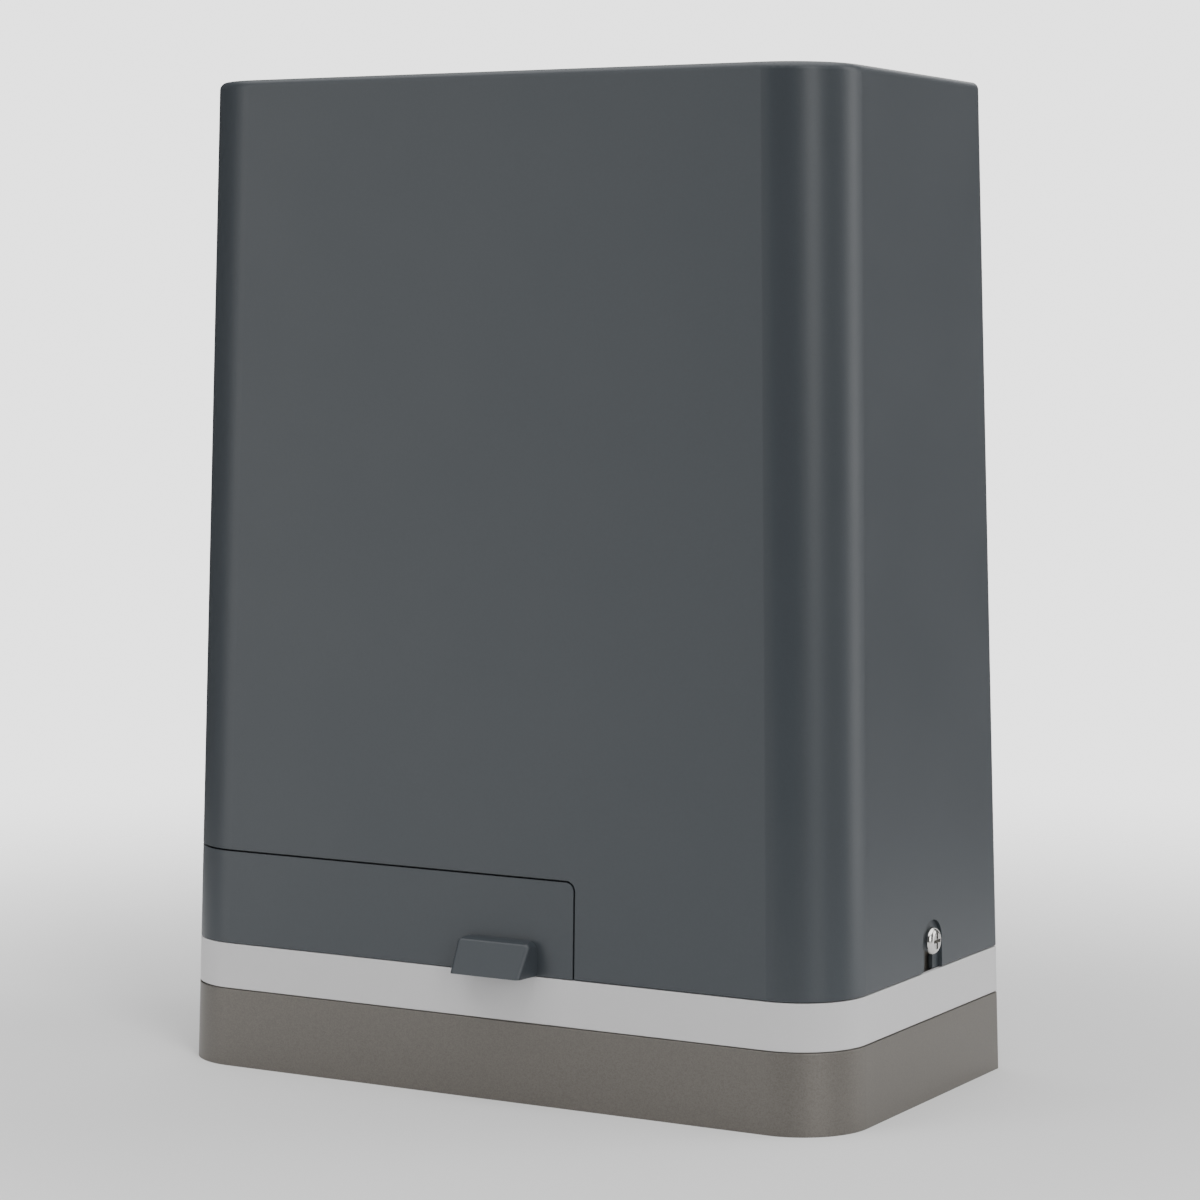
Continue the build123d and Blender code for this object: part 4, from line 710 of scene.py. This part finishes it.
def square_ring(low, high, inside, outside):
    """Four bars round the middle limb, between two heights and two pairs of half sizes."""
    height = high - low
    middle = (low + high) / 2
    width, depth = outside[0] - inside[0], outside[1] - inside[1]
    bars = []
    for side in (-1, 1):
        across = coil_middle.x + side * (inside[0] + width / 2)
        along = coil_middle.y + side * (inside[1] + depth / 2)
        bars.append((across, coil_middle.y, middle, width, 2 * outside[1], height))
        bars.append((coil_middle.x, along, middle, 2 * inside[0], depth, height))
    return bars


coil_half = (coil_size.x / 2, coil_size.y / 2)
wire_half = tuple(v - wire_inset for v in coil_half)
bobbin_half = tuple(v - 1.7 * wire_radius for v in wire_half)
bobbin = square_ring(coil_low.z, coil_low.z + cheek, limb_half, coil_half)
bobbin += square_ring(coil_high.z - cheek, coil_high.z, limb_half, coil_half)
bobbin += square_ring(coil_low.z + cheek, coil_high.z - cheek,
                      tuple(v - wall for v in bobbin_half), bobbin_half)
spool = block_piece("transformer_bobbin", bobbin, finishes["black_plastic"], 0.25)
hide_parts("transformer_coil")
wire_corner = 1.2
wire_values = {"Turns": turns, "Pitch": turn_pitch * MM, "Wire": wire_radius * MM,
               "Width": 2 * (wire_half[0] - wire_radius) * MM,
               "Depth": 2 * (wire_half[1] - wire_radius) * MM,
               "Corner": wire_corner * MM, "Material": wire_copper}
wire_start = (coil_middle.x, coil_middle.y, coil_low.z + cheek + wire_radius)
finish_piece(grow("transformer_wire", [wire_start], winding, wire_values))
tape_half_height = 5.0
tape = square_ring(coil_middle.z - tape_half_height, coil_middle.z + tape_half_height,
                   tuple(v - wire_radius for v in wire_half), tuple(v + 0.2 for v in wire_half))
block_piece("transformer_tape", tape, coil_tape, 0.12)

# Floor that fades into the white surroundings
floor_mesh = bpy.data.meshes.new("studio_floor")
rings = bmesh.new()
bmesh.ops.create_circle(rings, cap_ends=True, cap_tris=False, segments=96, radius=floor_radius)
rings.to_mesh(floor_mesh)
rings.free()
floor = bpy.data.objects.new("studio_floor", floor_mesh)
bpy.context.scene.collection.objects.link(floor)
floor.location.z = cad_box[0].z
floor_finish = bpy.data.materials.new("studio_floor_finish")
floor_finish.use_nodes = True
sheet = Tree(floor_finish.node_tree)
sheet.data.nodes.clear()
spot = sheet.node("ShaderNodeTexCoord", output="Object")
reach = sheet.node("ShaderNodeVectorMath", {"operation": "LENGTH"}, {0: spot}, "Value")
solid = 1.0 - reach.step(floor_solid_radius, floor_radius)
matt = sheet.node("ShaderNodeBsdfDiffuse", inputs={"Color": floor_colour, "Roughness": 0.5})
clear = sheet.node("ShaderNodeBsdfTransparent")
blended = sheet.node("ShaderNodeMixShader", inputs={0: solid, 1: clear, 2: matt})
ground = sheet.data.nodes.new("ShaderNodeOutputMaterial")
sheet.feed(ground.inputs["Surface"], blended)
floor_mesh.materials.append(floor_finish)

# Soft studio light, painted round the horizon. Each panel is (azimuth, half width, soft edge, strength,
# share of its strength below the horizon)
panels = [
    (-39.0, 6.0, 15.0, 1.9, 1.0),
    (54.0, 5.0, 8.0, 5.7, 0.03),
    (86.0, 6.0, 12.0, 0.22, 1.0),
    (128.0, 9.0, 9.0, 2.9, 0.7),
    (190.0, 12.0, 14.0, 0.9, 1.0),
    (-160.0, 16.0, 12.0, 1.0, 1.0),
]
overhead_strength = 2.6
room_strength = 0.06
ground_strength = 0.8
backdrop_strength = 2.6
world = bpy.data.worlds.new("studio_world")
bpy.context.scene.world = world
world.use_nodes = True
sky = Tree(world.node_tree)
sky.data.nodes.clear()
direction = sky.node("ShaderNodeTexCoord", output="Generated")
parts = sky.node("ShaderNodeSeparateXYZ", inputs={0: direction}, output="X")
east, north, up = parts, parts.output("Y"), parts.output("Z")
full_turn = 360.0
azimuth = east.math("ARCTAN2", east, 0.0 - north) * (full_turn / math.tau)
level = 1.0 - up.step(0.45, 0.75)
light = azimuth * 0.0 + room_strength
for middle, half, edge, strength, lower_share in panels:
    swing = azimuth - middle + 1.5 * full_turn
    wrapped = swing.math("FLOORED_MODULO", swing, full_turn) - full_turn / 2
    across = 1.0 - wrapped.alone("ABSOLUTE").step(half, half + edge)
    upward = up.step(-0.1, 0.2) * (1.0 - lower_share) + lower_share
    light = light + across * upward * level * strength
light = light + up.step(0.62, 0.88) * overhead_strength
below = 1.0 - up.step(-0.45, -0.2)
light = light * (1.0 - below) + below * ground_strength
seen = sky.node("ShaderNodeLightPath", output="Is Camera Ray")
strength = light * (1.0 - seen) + seen * backdrop_strength
glow = sky.node("ShaderNodeBackground", inputs={"Color": rgb(1.0, 1.0, 1.0), "Strength": strength})
ending = sky.data.nodes.new("ShaderNodeOutputWorld")
sky.feed(ending.inputs["Surface"], glow)

# Camera at the photograph's viewing angle
camera_data = bpy.data.cameras.new("view")
camera_data.lens = lens_length
camera_data.sensor_width = sensor_size
camera_data.sensor_fit = "HORIZONTAL"
camera_data.clip_start = 0.05
camera_data.clip_end = 50.0
camera = bpy.data.objects.new("view", camera_data)
bpy.context.scene.collection.objects.link(camera)
turn = math.radians(view_azimuth)
rise = math.radians(view_elevation)
back = Vector((math.sin(turn) * math.cos(rise), -math.cos(turn) * math.cos(rise), math.sin(rise)))
camera.location = look_at + back * view_distance
camera.rotation_euler = back.to_track_quat("Z", "Y").to_euler()
bpy.context.scene.camera = camera


def plain(box):
    """A box as plain lists of numbers."""
    return [[float(v) for v in corner] for corner in box]
